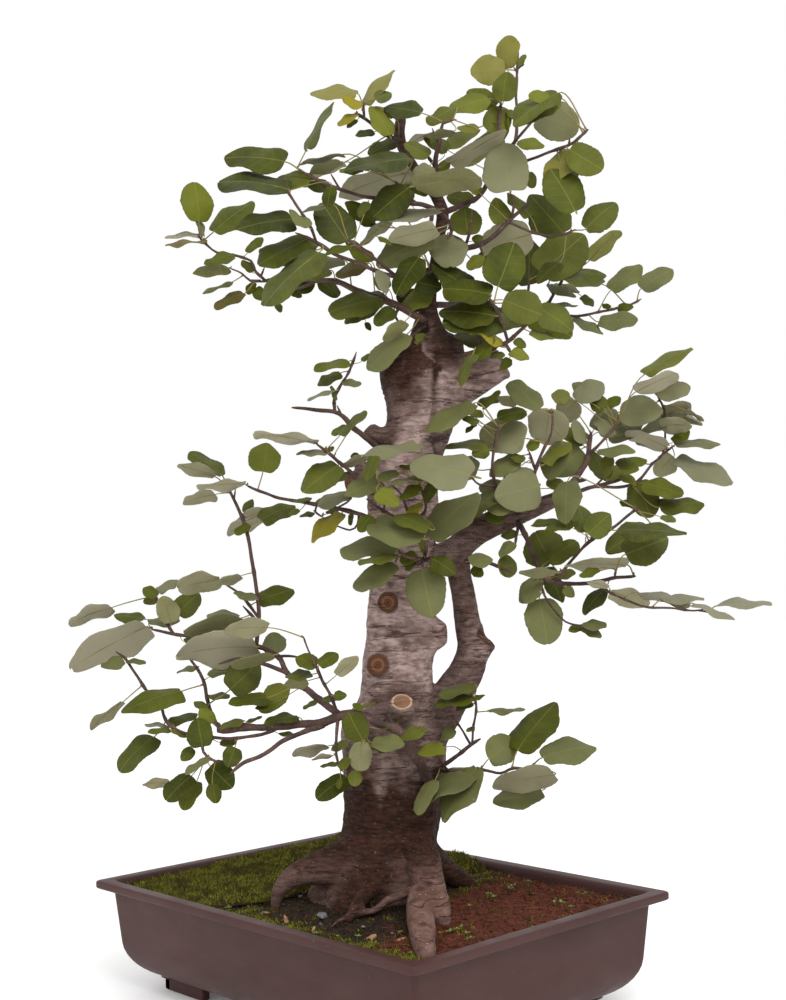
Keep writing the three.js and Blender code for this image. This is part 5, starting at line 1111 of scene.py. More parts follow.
        (167, 394, 148, 369, 17, 8)],
}, "rightTwigSpray": {
    "looks": "ogo",
    "twigs": [
        [(92, 408, -10, 2.6), (112, 409, -24, 2.4), (128, 403, -34, 2), (144, 396, -40, 1.3)]],
    "leaves": [(128, 402, 146, 406, 21), (100, 409, 123, 411, 14, -12), (104, 404, 112, 395, 13)],
}, "rightInnerSpray": {
    "looks": "gpppbboooggo",
    "twigs": [
        [(160, 458, -4, 2.8), (164, 488, -30, 2.2), (170, 505, -38, 1.9), (177, 521, -44, 1.6)],
        [(166, 494, -33, 1.5), (160, 513, -42, 1)],
        [(170, 505, -38, 1.5), (182, 530, -34, 1.3), (184, 552, -30, 1)]],
    "leaves": [(171, 553, 144, 581, 22), (157, 525, 113, 533, 35), (181, 552, 176, 519, -42),
        (170, 480, 128, 470, 42), (150, 497, 137, 484, 13), (175, 500, 200, 520, 13), (155, 503, 142, 511, 9),
        (160, 514, 170, 524, 11), (192, 478, 176, 484, 12)],
    "more": [(148, 507, 122, 490, 19, 14), (192, 522, 178, 485, 25, 16), (134, 564, 112, 560, 10, 4)],
}, "rightMidSpray": {
    "looks": "odgpggoogooopoo",
    "twigs": [
        [(134, 450, -8, 2.8), (128, 478, -36, 2.2), (125, 503, -50, 1.8), (132, 538, -56, 1.3)],
        [(128, 480, -37, 1.7), (112, 482, -56, 1.4), (104, 490, -62, 1.1)],
        [(131, 463, -21, 1.9), (120, 466, -40, 1.3)]],
    "leaves": [(118, 554, 133, 572, 8), (158, 551, 131, 546, 13), (148, 556, 131, 567, -9),
        (104, 490, 46, 506, 35, -58), (142, 480, 112, 478, 16), (119, 467, 140, 455, 19),
        (118, 455, 134, 446, 13), (104, 553, 118, 547, 8), (109, 560, 61, 535, 17), (118, 521, 80, 519, 10),
        (122, 515, 106, 511, 14), (110, 540, 100, 532, 5)],
    "more": [(111, 496, 75, 503, 25, 8), (132, 476, 98, 452, 17, 10), (112, 540, 98, 548, 8, 0)],
}, "branchSpray": {
    "looks": "oobooyddoobdooddyd",
    "twigs": [
        [(86, 606, -40, 3), (100, 606, -56, 2.7), (115, 610, -62, 2.6), (130, 613, -66, 2.5),
         (143, 618, -68, 2.4), (155, 628, -70, 2), (166, 638, -72, 1.4)],
        [(143, 618, -68, 1.9), (138, 635, -73, 1.7), (131, 652, -76, 1.6), (125, 662, -77, 1.1)],
        [(117, 610, -62, 1.7), (116, 625, -66, 1.4), (119, 640, -68, 1)],
        [(140, 617, -68, 1.9), (146, 606, -72, 1.4)],
        [(102, 607, -57, 1.5), (108, 600, -64, 1.2)]],
    "leaves": [(113, 602, 129, 623, 14), (126, 606, 140, 605, 7), (146, 609, 163, 601, 12),
        (144, 602, 136, 591, 10), (109, 607, 95, 577, 11), (120, 640, 106, 627, 13), (132, 643, 77, 651, 31),
        (128, 664, 82, 672, 26), (172, 650, 205, 628, 25), (140, 658, 176, 643, 34), (165, 627, 187, 620, 9),
        (135, 671, 152, 713, 42), (150, 620, 160, 612, 9), (55, 621, 68, 624, 12)],
    "more": [(108, 669, 72, 695, 25, 16), (136, 641, 82, 640, 30, 18), (135, 614, 111, 638, 12, 0),
        (135, 614, 93, 629, 19, 16)],
}, "crownLeftSpray": {
    "looks": "bowrgooogroooodoogroooggooooo",
    "twigs": [
        [(66, 640, -34, 4.6), (40, 654, -38, 4.2), (20, 663, -26, 4), (0, 671, -12, 3.7), (-20, 680, 2, 3.4),
         (-42, 682, 15, 3), (-75, 684, 36, 2.6), (-92, 682, 46, 2.2)],
        [(-38, 682, 12, 2.6), (-50, 676, 18, 2.3), (-70, 671, 29, 2.2), (-85, 665, 37, 1.7)],
        [(-88, 683, 43, 2), (-97, 692, 51, 1.8), (-101, 702, 54, 1.6), (-118, 708, 66, 1.5),
         (-134, 711, 77, 1.5), (-144, 720, 86, 1.4), (-151, 727, 92, 1)],
        [(-92, 682, 46, 1.7), (-102, 683, 49, 1.4), (-110, 690, 51, 1.2), (-122, 696, 57, 0.9)],
        [(-92, 686, 47, 1.6), (-88, 695, 41, 1.3)],
        [(-42, 682, 15, 1.4), (-40, 692, 6, 1.1)],
        [(40, 654, -38, 2), (36, 645, -47, 1.6), (44, 634, -56, 1.2)]],
    "leaves": [(-150, 741, -153, 779, 30), (-136, 731, -98, 761, 22), (-149, 729, -183, 727, -5),
        (-144, 720, -182, 721, -5), (-147, 727, -150, 745, 7), (-104, 710, -90, 725, 10),
        (-118, 708, -146, 701, 11), (-122, 696, -157, 691, -12), (-120, 682, -148, 672, 5),
        (-108, 671, -137, 658, 11), (-100, 691, -109, 703, 9), (-98, 681, -105, 670, 9),
        (-77, 661, -73, 652, 7), (-62, 671, -53, 666, 7), (-42, 682, -57, 671, 15), (-36, 681, -17, 667, 13),
        (-25, 691, -48, 683, -11), (-12, 700, -48, 697, 13), (10, 697, -20, 686, 13), (22, 662, -27, 653, 24),
        (25, 668, -10, 644, 22), (35, 652, 16, 638, 15), (45, 640, 24, 622, -13), (47, 628, 8, 596, 21),
        (30, 672, 18, 685, -15), (-97, 676, -90, 664, 12), (8, 640, 12, 632, 6), (-72, 672, -80, 680, 8)],
    "more": [(14, 656, -13, 641, 13, 10)],
}, "crownLowSpray": {
    "looks": "doodgpddoogddoobopo",
    "twigs": [
        [(74, 690, -26, 4), (58, 684, -44, 3.4), (33, 684, -62, 2.7), (15, 691, -74, 2.5), (0, 698, -83, 2.4),
         (-20, 706, -93, 2.2), (-30, 713, -98, 2), (-43, 721, -105, 1.8), (-58, 728, -111, 1.2)],
        [(36, 685, -60, 2), (18, 701, -77, 1.9), (2, 712, -90, 1.8), (-8, 720, -97, 1.3)],
        [(-38, 719, -103, 1.7), (-44, 735, -111, 1.5), (-56, 755, -119, 1.5), (-66, 770, -124, 1.2)],
        [(58, 684, -44, 3.2), (48, 670, -56, 2.8), (42, 664, -62, 1.8)]],
    "leaves": [(-60, 741, -115, 733, 22), (-38, 711, -94, 712, 26), (-35, 709, -92, 662, 24),
        (-8, 718, -32, 756, 35), (-45, 733, -63, 750, 11), (-24, 755, -52, 748, -5), (-22, 772, -27, 753, 14),
        (-63, 770, -131, 781, 21), (12, 756, 3, 742, 10), (19, 738, 4, 736, 11), (37, 744, 3, 713, -11),
        (60, 701, 36, 668, 25, -10), (57, 677, 81, 671, 19), (-5, 714, -30, 708, 8), (22, 722, 34, 714, 5)],
    "more": [(70, 668, 43, 651, 19, 8), (-48, 721, -94, 699, 25, 14), (22, 690, 28, 668, 13, -4),
        (15, 698, -9, 720, 15, 12)],
}, "crownUpSpray": {
    "looks": "odogpdpdwgppbood",
    "twigs": [
        [(82, 744, -22, 3.8), (64, 752, -44, 3.2), (40, 756, -56, 2.6), (15, 760, -66, 2.3),
         (-12, 768, -74, 2), (-40, 781, -80, 1.6), (-56, 791, -82, 1)],
        [(60, 753, -45, 1.8), (46, 765, -58, 1.5), (40, 775, -64, 1.1)],
        [(73, 748, -34, 3), (72, 734, -44, 2.4), (62, 727, -52, 1.8)],
        [(73, 748, -34, 2.8), (88, 738, -44, 2.1), (92, 726, -50, 1.9), (88, 718, -58, 1.5)],
        [(-14, 769, -74, 1.3), (-22, 784, -78, 1.1)]],
    "leaves": [(-45, 809, -20, 854, 9), (-66, 797, -125, 803, 25), (-42, 778, -77, 781, 17),
        (-12, 795, -43, 787, -11), (-10, 803, -55, 794, -6), (54, 797, -9, 790, 17), (56, 784, -17, 766, -27),
        (52, 769, 17, 743, 31), (80, 747, 28, 739, 10, -20), (72, 721, 19, 697, 29), (78, 729, 31, 720, -23),
        (88, 722, 90, 694, 37), (8, 787, -14, 787, 7), (60, 746, 72, 742, 8)],
    "more": [(18, 736, -8, 758, 17, 16), (-28, 767, -54, 787, 15, 10)],
}, "crownTopSpray": {
    "looks": "doowgopbpgbo",
    "twigs": [
        [(82, 752, -18, 3.8), (79, 775, -26, 3), (78, 795, -32, 2.8), (82, 812, -36, 2.5),
         (87, 833, -40, 1.8)],
        [(78, 790, -31, 1.7), (70, 800, -42, 1.3)],
        [(82, 812, -36, 1.6), (76, 826, -44, 1.2)],
        [(86, 830, -40, 1.2), (98, 834, -46, 1)]],
    "leaves": [(66, 841, 30, 849, 18), (98, 845, 71, 832, 15), (72, 799, 49, 812, 15), (78, 822, 47, 811, -6),
        (97, 823, 70, 818, -9), (87, 801, 76, 818, 13), (73, 790, 56, 771, 19), (80, 780, 91, 796, 11),
        (92, 791, 146, 821, -19), (58, 770, 121, 779, -23, -22), (120, 823, 100, 827, 10)],
    "more": [(72, 764, 48, 774, 13, 12)],
}, "crownTipSpray": {
    "looks": "llyyooobypd",
    "twigs": [
        [(44, 815, -10, 3.2), (33, 820, -26, 2.4), (20, 830, -34, 2.1), (10, 838, -38, 1.9),
         (2, 843, -40, 1.2)],
        [(11, 837, -38, 1.3), (10, 852, -42, 1)],
        [(24, 827, -32, 1.4), (24, 838, -38, 1.1)]],
    "leaves": [(4, 862, -41, 864, 14), (12, 850, 39, 884, 13), (8, 848, -9, 858, 10), (4, 842, -15, 832, 8),
        (4, 836, -6, 829, 5), (20, 824, 2, 821, 8), (22, 856, 38, 861, 12), (35, 820, 18, 849, 18, -10),
        (40, 838, 22, 849, 7, -24)],
    "more": [(-10, 795, -44, 783, 12, 0), (41, 815, 14, 803, 15, 8)],
}, "crownRightSpray": {
    "looks": "bllooobpbboopoooogobbolo",
    "twigs": [
        [(86, 744, -16, 4), (104, 752, -14, 3.2), (118, 758, -12, 2.9), (130, 775, -5, 2.7),
         (138, 800, 5, 2.5), (140, 820, 11, 2.3), (141, 836, 16, 2), (143, 850, 21, 1.5)],
        [(137, 797, 4, 2.1), (152, 806, 13, 2.2), (157, 818, 21, 2.2), (158, 835, 28, 2), (158, 858, 38, 1.8),
         (159, 880, 46, 1.6), (161, 901, 53, 1.3)],
        [(148, 803, 10, 1.7), (163, 820, -12, 1.8), (173, 831, -16, 1.3)],
        [(130, 775, -5, 2.2), (150, 787, -22, 2), (165, 792, -37, 1.9), (180, 797, -48, 1.8),
         (195, 802, -60, 1.7), (210, 808, -72, 1.6), (226, 821, -84, 1.3)],
        [(207, 806, -69, 1.5), (208, 813, -72, 1.2)],
        [(118, 758, -12, 1.5), (114, 771, -20, 1.2)],
        [(158, 880, 46, 1.2), (166, 886, 4, 1)]],
    "leaves": [(131, 853, 92, 844, 19), (150, 882, 150, 913, 23), (148, 881, 115, 881, 27),
        (145, 850, 149, 878, 23), (161, 884, 167, 895, 7), (198, 857, 153, 832, 18), (188, 851, 170, 858, 12),
        (176, 836, 215, 822, 39), (129, 822, 150, 842, 26), (158, 811, 183, 805, 12),
        (166, 780, 172, 766, 13), (207, 802, 238, 782, 30), (199, 799, 207, 769, 28),
        (211, 742, 189, 785, 37), (192, 842, 200, 850, 9), (150, 842, 158, 832, 8)],
    "more": [(112, 753, 88, 760, 17, 14), (141, 817, 96, 791, 21, 10), (138, 846, 111, 862, 19, 8),
        (120, 825, 84, 807, 13, 10), (144, 836, 141, 811, 15, 10), (196, 852, 155, 836, 25, 12),
        (213, 799, 183, 773, 25, 12), (91, 804, 68, 819, 13, 12)],
}, "crownMidSpray": {
    "looks": "pobpooboooood",
    "twigs": [
        [(78, 704, -20, 4.6), (100, 708, -30, 3.8), (118, 712, -38, 3.3), (132, 720, -42, 2.9),
         (148, 735, -48, 2.4), (167, 751, -52, 2)],
        [(150, 737, -48, 1.7), (152, 750, -56, 1.4), (149, 762, -60, 1.1)],
        [(104, 709, -31, 1.8), (110, 726, -44, 1.5), (112, 745, -50, 1.1)],
        [(146, 733, -47, 1.5), (172, 722, -50, 1.3), (196, 719, -52, 1.2), (210, 724, -54, 1)],
        [(118, 712, -38, 1.8), (122, 702, -50, 1.3)]],
    "leaves": [(149, 763, 143, 811, 47), (108, 722, 105, 749, 33), (140, 732, 135, 757, 21),
        (168, 721, 119, 709, -42), (199, 721, 168, 760, 37), (221, 725, 250, 749, 26),
        (122, 700, 106, 690, 13), (112, 716, 122, 720, 8), (222, 724, 238, 722, -6),
        (120, 762, 108, 775, 12)],
    "more": [(168, 738, 147, 762, 13, 10), (118, 695, 144, 712, 17, 14), (195, 693, 172, 675, 17, 16)],
}, "crownFarRightSpray": {
    "looks": "oboggggoodoggogdoo",
    "twigs": [
        [(74, 655, -20, 4), (100, 655, 10, 3.6), (130, 650, 35, 3.2), (155, 646, 50, 2.8),
         (176, 647, 62, 2.4), (188, 662, 68, 2), (198, 678, 74, 1.4)],
        [(160, 646, 53, 2), (163, 660, 51, 1.7), (165, 678, 50, 1.3)],
        [(176, 647, 62, 2), (205, 641, 76, 1.8), (235, 645, 93, 1.6), (262, 651, 109, 1.4),
         (272, 656, 114, 1)],
        [(188, 662, 68, 1.3), (182, 672, 70, 1)]],
    "leaves": [(176, 683, 219, 719, 43), (223, 694, 252, 722, -17), (190, 680, 239, 681, 14),
        (243, 665, 272, 688, 21), (188, 672, 213, 664, 8), (183, 652, 211, 651, 5), (272, 666, 302, 684, 21),
        (242, 648, 234, 652, 6), (249, 648, 264, 648, 9), (165, 672, 166, 716, 27), (215, 660, 226, 650, 9)],
    "more": [(230, 635, 267, 635, 17, 0), (206, 639, 234, 623, 9, 0), (235, 671, 193, 686, 17, 12),
        (183, 672, 209, 659, 10, 0), (66, 656, 37, 666, 23, 16), (175, 652, 115, 632, 25, 14),
        (165, 643, 204, 622, 27, 12)],
}}


# A seeded draw from 0 to 1: the state is multiplied by 16807 and kept within 2147483647.
def seededDraw(seed):
    while True:
        seed = seed * 16807 % 2147483647
        yield seed / 2147483647


# Where a stem leaves its twig: the least of distance times how little the leaf points away, plus crowding.
def stemRoot(twigs, leaf, taken):
    base, way = np.array(leaf[:2]), np.array(leaf[2:4]) - leaf[:2]
    best, least = None, np.inf
    for rows in twigs:
        for a, b in zip(rows[:-1], rows[1:]):
            a, b = np.array(a), np.array(b)
            run = np.linalg.norm((b - a)[:3])
            for step in range(9):
                at = a + (b - a) * (step / 8) * (1 - 1.6 / run)
                off = base - at[:2]
                distance = np.hypot(*off) + 0.01
                behind = off @ way / (distance * np.hypot(*way))
                crowd = sum(np.linalg.norm(other - at) < 2.4 for other in taken)
                cost = (distance + 3) * (1.5 - behind) + 5 * crowd
                if cost < least:
                    best, least = at, cost
    taken.append(best)
    return best


# A leaf's place and turn from its row: it leans and rolls until it shows the length and width of the row.
def leafPose(leaf, root, draws, shift=0.0):
    u, z, tipU, tipZ, shown = leaf[:5]
    seen = np.hypot(tipU - u, tipZ - z)
    length = max(seen * 1.04, abs(shown) * bladeAspect)
    lean = (1 if (tipZ - z) * shown > 0 else -1) * np.arccos(min(seen / length, 1))
    roll = np.arccos(min(abs(shown) * bladeAspect / length, 1))
    depth = root[2] + (draws[0] - 0.5) * 24 + (leaf[5] if len(leaf) > 5 else 0) + shift
    scale = 1 - depth / viewer[1]
    angle = np.arctan2(tipZ - z, tipU - u)
    base = place(np.array([u, z, depth]))
    sight = unit(base - potMiddle - across * viewer[0] - away * viewer[1] - up * viewer[2])
    right = unit(np.cross(sight, up))
    above = np.cross(right, sight)
    axis = (right * np.cos(angle) + above * np.sin(angle)) * np.cos(lean) + sight * np.sin(lean)
    side = unit(np.cross(axis, sight))
    facing = unit(np.cross(side, axis))
    if facing @ sight * shown > 0:
        facing = -facing
    normals = [facing * np.cos(turn) + side * np.sin(turn) for turn in (roll, -roll)]
    normal = normals[0] if normals[0][2] > normals[1][2] else normals[1]
    return {
        "base": base,
        "stem": place(root[:3]),
        "axis": axis,
        "normal": normal,
        "cross": np.cross(normal, axis),
        "length": length * scale,
        "width": length * scale / bladeAspect,
        "fold": 0.08 + 0.14 * draws[1],
        "droop": 0.08 + 0.14 * draws[2],
        "wave": 6.28 * draws[3],
        "plain": length,
    }


# How high a blade stands over its own plane: folded up along the midrib by the width, drooping to the tip
# by the square of the length's share, and rippled at the edges.
def bladeRise(leaf, s, w):
    ripple = 0.07 * np.abs(w) * np.sin(9 * s + leaf["wave"] + np.where(w > 0, 2, 0))
    folded = leaf["fold"] * np.abs(w) * leaf["width"]
    return folded - leaf["droop"] * leaf["length"] * s * np.abs(s) + ripple * leaf["length"]


# The same in the finished blade: it arches up and over, so that its tip stands where the leaf's row has it,
# and its sides hang a little.
def archedRise(leaf, s, w):
    arch = leafForm["arch"] * leaf["droop"] * leaf["length"] * s
    return bladeRise(leaf, s, w) + arch - leafForm["hang"] * leaf["fold"] * np.abs(w) * leaf["width"]


# Leaves of the solids stand clear of each other by shifts in depth: the shift that puts the tip on a corner
# of the node is the leaf's own.
def leafShift(leaf, root, draws, corners):
    best, least = 0.0, 0.6
    for shift in depthTries:
        pose = leafPose(leaf, root, draws, shift)
        tip = pose["base"] + pose["axis"] * pose["length"]
        tip = tip + pose["normal"] * (bladeRise(pose, 1, 0) + bladeThickness / 2)
        distance = corners.find(tip)[2]
        if distance < least - 0.02:
            best, least = shift, distance
    return best


bladeAspect = 1.22  # length over width
bladeThickness = 0.65  # of the solids' blades
depthTries = [0, 5, -5, 10, -10, 15, -15, 20, -20, 26, -26, 32, -32, 40, -40]
leastLeaf = 21  # shorter leaves are in this script alone
leafForm = {
    "thickness": 0.5,
    "rows": 26,
    "arch": 0.7,
    "hang": 1.35,
    "cockle": 0.055,
    "sway": 0.03,
    "acrossPlaces": [-1, -0.95, -0.72, -0.42, -0.13, 0.13, 0.42, 0.72, 0.95, 1],
    "teeth": 0.012,
    "unevenEdge": 0.1,
    "lobes": 0.07,
    "veins": 6,
    "veinSlant": 0.5,
    "veinCurve": 0.35,
    "veinDepth": 0.008,
    "stemRadius": 0.6,
    "ribRadius": 0.42,
}

# A leaf's four tones by its look in the front view: how bright (the leaf's own green, with painted shade at
# the dark end and painted light through the blade at the bright end), how yellow, how grey (a painted
# reflection of the sky), how brown.
leafLooks = {
    "d": (0.12, 0, 0, 0),  # dark: the leaf's deep green, partly painted shade
    "o": (0.45, 0, 0.05, 0),  # olive
    "b": (0.9, 0.06, 0.06, 0),  # bright green: painted light shining through the blade
    "y": (0.9, 0.7, 0.05, 0.05),  # yellowing
    "g": (0.6, 0, 0.34, 0),  # greyish: painted reflection of the sky
    "p": (0.7, 0, 0.68, 0),  # pale: more painted reflection of the sky
    "w": (0.75, 0, 1, 0),  # palest: the most painted reflection of the sky
    "l": (1, 0.3, 0.35, 0),  # light yellow-green, at the tips
    "r": (0.5, 0.1, 0.2, 0.6),  # browned
}


# Half the blade's width at a share of its length, q^a (1 - q)^b over its own greatest value: it swells at
# once, is widest at a / (a + b) and rounds to the tip, more bluntly for a lesser b.
def halfWidth(q, a=0.45, b=0.58):
    peak = a / (a + b)
    return 0.5 * q**a * (1 - q) ** b / (peak**a * (1 - peak) ** b)


# All blades of a spray: each is a closed shell of two sheets that meet along the toothed, uneven edge. Side
# veins stand in relief at even steps of the length, and slow noise lifts the sides.
def addBlades(shape, leaves, tones, draw):
    form = leafForm
    count, rows = len(leaves), form["rows"]
    q = 0.003 + 0.994 * (0.5 - 0.5 * np.cos(np.linspace(0.12, np.pi - 0.12, rows))[None, :, None])
    q = (q - q.min()) / (q.max() - q.min()) * 0.994 + 0.003
    t = np.array(form["acrossPlaces"])[None, None, :]
    seed = draw.random((count, 1, 1)) * 90
    teeth = form["teeth"] * (np.arange(rows) % 2 * 2 - 1)[None, :, None] * np.abs(t) ** 6
    edge = np.stack(np.broadcast_arrays(seed, q * 3, np.sign(t) * 3.0), -1)
    uneven = form["unevenEdge"] * (noise(edge) + 0.4 * noise(edge * [1, 3.3, 1])) * np.abs(t) ** 2
    swell, close = 0.38 + 0.14 * draw.random((count, 1, 1)), 0.48 + 0.26 * draw.random((count, 1, 1))
    w = t * halfWidth(q, swell, close)
    w = w * (1 + (teeth + uneven) * np.minimum(1, 8 * q * (1 - q)))
    s = q - form["lobes"] * (1 - q) ** 5 * np.abs(t) ** 1.5 * np.minimum(1, q * 14)
    leaf = {name: np.array([each[name] for each in leaves])[:, None, None] for name in leaves[0]}
    rise = archedRise(leaf, s, w)
    slant = s - form["veinSlant"] * np.abs(w) + form["veinCurve"] * w * w
    puff = 0.5 - 0.5 * np.cos(2 * np.pi * form["veins"] * slant)
    raised = puff * np.minimum(1, np.abs(t) * 3) * (1 - np.abs(t) ** 3) - 0.3
    rise = rise + form["veinDepth"] * leaf["length"] * raised
    cockle = noise(np.stack(np.broadcast_arrays(s * 3.2, w * 3.2, seed + 40), -1))
    rise = rise + form["cockle"] * leaf["length"] * cockle * np.abs(t)
    sway = form["sway"] * leaf["length"] * (draw.random((count, 1, 1)) - 0.5) * np.sin(np.pi * q)
    middle = leaf["base"] + leaf["axis"] * (s * leaf["length"])[..., None]
    middle = middle + leaf["cross"] * (w * leaf["width"] + sway)[..., None]
    middle = middle + leaf["normal"] * rise[..., None]
    tall = np.broadcast_to(form["thickness"] / 2 * np.sqrt(1 - np.abs(t) ** 8), q.shape[:2] + t.shape[2:])
    lift = leaf["normal"] * tall[..., None]
    columns = t.shape[2]
    size = rows * columns
    flat = np.stack([np.broadcast_to(s, rise.shape), w / halfWidth(0.4)], -1).reshape(-1, 2)
    tone = np.repeat(tones, size, axis=0)
    faces = gridFaces(rows, columns)
    inner = np.zeros((rows, columns), bool)
    inner[1:-1, 1:-1] = True
    under = np.where(inner.ravel()[faces], faces + size * count, faces)[:, ::-1]
    both = np.vstack([repeated(faces, count, size), repeated(under, count, size)])
    kinds = np.repeat([1, 2], len(both) // 2)
    sheets = np.stack([middle + lift, middle - lift])
    addPart(shape, sheets, both, kinds, np.tile(flat, (2, 1)), np.tile(tone, (2, 1)))


# A stem curves from the twig to the leaf's base (Hermite), arrives along the blade and runs on as the rib.
def addStem(shape, leaf, thick):
    t = np.linspace(0, 1, 9)[:, None]
    start, end = leaf["stem"], leaf["base"] - leaf["normal"] * 0.2
    reach = np.linalg.norm(end - start)
    leave = unit(end - start) * reach + up * 0.1 * reach
    arrive = leaf["axis"] * reach * 0.8
    curve = (2 * t**3 - 3 * t**2 + 1) * start + (t**3 - 2 * t**2 + t) * leave
    curve = curve + (3 * t**2 - 2 * t**3) * end + (t**3 - t**2) * arrive
    s = np.linspace(0.05, 0.9, 9)
    sunk = archedRise(leaf, s, 0) - leafForm["veinDepth"] * leaf["length"] * 0.3 - 0.35
    rib = leaf["base"] + leaf["axis"] * (s * leaf["length"])[:, None] + leaf["normal"] * sunk[:, None]
    fine = min(1, 0.45 + leaf["length"] / 80) * thick
    stemRadii = np.linspace(1.25, 0.95, 9) * leafForm["stemRadius"]
    ribRadii = np.linspace(1, 0.3, 9) * leafForm["ribRadius"]
    addTube(shape, np.vstack([curve, rib]), np.concatenate([stemRadii, ribRadii]) * fine, 5, 3)


# A bud beside each stem: an egg of rings that swell and close to a point.
def addBud(shape, leaf, size, side):
    along = unit(unit(leaf["base"] - leaf["stem"]) + up * 0.6 + side * 0.5)
    t = np.linspace(0, 1, 6)
    radii = size * 0.42 * np.sin(np.pi * t**0.8) ** 0.8 + 0.05
    addTube(shape, leaf["stem"] + along * (t * size * 1.8 + 0.6)[:, None], radii, 5, 4)


twigForm = {"spacing": 5, "sides": 8, "thin": 0.78, "lumps": 0.13, "joint": 0.45, "bend": 0.4}


# A twig: a smooth tube through its rows, with lumps of noise, a swelling at each stem and a slight wander.
def addTwig(shape, rows, stems, seed):
    path = smoothRows(rows, twigForm["spacing"])
    middle, radii = place(path[:, :3]), path[:, 3] * twigForm["thin"]
    coarse = np.stack([middle[:, 0], middle[:, 1], middle[:, 2] + seed * 31], -1)
    wander = np.stack([noise(coarse / 14 + 7 * k) for k in range(3)], -1)
    middle = middle + twigForm["bend"] * wander * np.minimum(radii, 2)[:, None]
    near = np.linalg.norm(middle[:, None] - stems[None], axis=-1).min(axis=1)
    swelling = twigForm["joint"] * np.exp(-((near / 2.6) ** 2)) / radii
    radii = radii * (1 + twigForm["lumps"] * noise(coarse / 6) + swelling)
    radii[-1] *= 0.5
    addTube(shape, middle, radii, twigForm["sides"], 0)


# Each spray: twigs, blades, stems and buds as one piece. Leaves of the solids draw from the solids' own
# sequence, and those added here from another.
def makeSprays(materials):
    draws = seededDraw(2718281)
    draw = np.random.default_rng(31)
    for name, spray in sprays.items():
        corners = searchTree([vertex.co * 1000 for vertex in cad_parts[name].data.vertices])
        taken, poses, tones = [], [], []
        for k, leaf in enumerate(spray["leaves"] + spray.get("more", [])):
            root = stemRoot([[row[:3] for row in rows] for rows in spray["twigs"]], leaf, taken)
            solid = k < len(spray["leaves"])
            four = [next(draws) for _ in range(4)] if solid else draw.random(4)
            pose = leafPose(leaf, root, four)
            if solid and pose["plain"] >= leastLeaf:
                pose = leafPose(leaf, root, four, leafShift(leaf, root, four, corners))
            poses.append(pose)
            tones.append(leafLooks[spray["looks"][k]] + (draw.random(4) - 0.5) * [0.24, 0.08, 0.12, 0.06])
        shape = newShape()
        stems = np.array([pose["stem"] for pose in poses])
        for k, rows in enumerate(spray["twigs"]):
            addTwig(shape, rows, stems, k)
        addBlades(shape, poses, np.clip(tones, 0, 1), draw)
        for pose in poses:
            addStem(shape, pose, 0.9 + 0.2 * draw.random())
            addBud(shape, pose, 1.4 + 0.8 * draw.random(), unit(draw.normal(size=3)))
        makePiece(name + "Leafy", shape, materials, "leaves", name)


# Blade colour: dark to bright green (the leaf's own green with painted shade and painted light through the
# blade), then a painted grey reflection of the sky, yellow and brown by the leaf's tones; veins run from the
# midrib at the same slant as the relief, and the fine net between them is a pattern of cells.
def bladeMaterial(name, colours, veinColour, veinShare, gloss, blotch):
    mix = Recipe(name)
    bright, yellow, paintedSkySheen, brown = mix.tones()
    cloud = mix.noise(38, 3)
    lively = mix.plus(bright, mix.spread(cloud, 0.3, 0.7, -0.2, 0.2))
    # Dark to bright green: painted shade and painted light through the blade over the leaf's own tone.
    colour = mix.blend(mix.spread(lively, 0, 1), colours["dark"], colours["bright"])
    # The grey tone paints a reflection of the sky over the blade.
    colour = mix.blend(paintedSkySheen, colour, colours["paintedSkySheen"])
    colour = mix.blend(yellow, colour, colours["yellow"])
    spots = mix.noise(150, 4, 0.7)
    edge = mix.spread(spots, 0.56, 0.68, 0, blotch)
    colour = mix.blend(mix.times(edge, mix.plus(brown, 0.3)), colour, colours["brown"])
    colour = mix.blend(mix.times(brown, 0.7), colour, colours["brown"])
    along, side = mix.flat()
    side = mix.math("ABSOLUTE", side)
    curve = mix.times(mix.times(side, side), leafForm["veinCurve"] / 4)
    slant = mix.math("SUBTRACT", along, mix.times(side, leafForm["veinSlant"] / 2))
    slant = mix.plus(slant, curve)
    phase = mix.math("PINGPONG", mix.times(slant, leafForm["veins"]), 0.5)
    sideVein = mix.spread(phase, 0.01, 0.075, 1, 0)
    rib = mix.spread(side, 0.012, 0.04, 1, 0)
    vein = mix.math("MAXIMUM", rib, mix.times(sideVein, 0.28))
    colour = mix.blend(mix.times(vein, veinShare), colour, veinColour)
    net = mix.cells(900, "DISTANCE_TO_EDGE")
    height = mix.plus(mix.spread(net, 0, 0.12), mix.times(vein, -1.5))
    bump = mix.relief(height, 0.25, 0.0004)
    sheen = mix.spread(mix.noise(70, 2), 0.3, 0.7, gloss - 0.06, gloss + 0.1)
    return mix.surface(colour, sheen, bump, 0.1)


# Twig bark: brown to grey with pale specks, finely lined along the twig.
def twigMaterial(name, dark, light, roughness):
    mix = Recipe(name)
    broad = mix.noise(60, 4)
    specks = mix.spread(mix.noise(420, 2), 0.62, 0.7)
    colour = mix.blend(mix.spread(broad, 0.3, 0.7), dark, light)
    colour = mix.blend(mix.times(specks, 0.4), colour, (150, 126, 112))
    bump = mix.relief(mix.noise(500, 4), 0.35, 0.0006)
    return mix.surface(colour, roughness, bump)


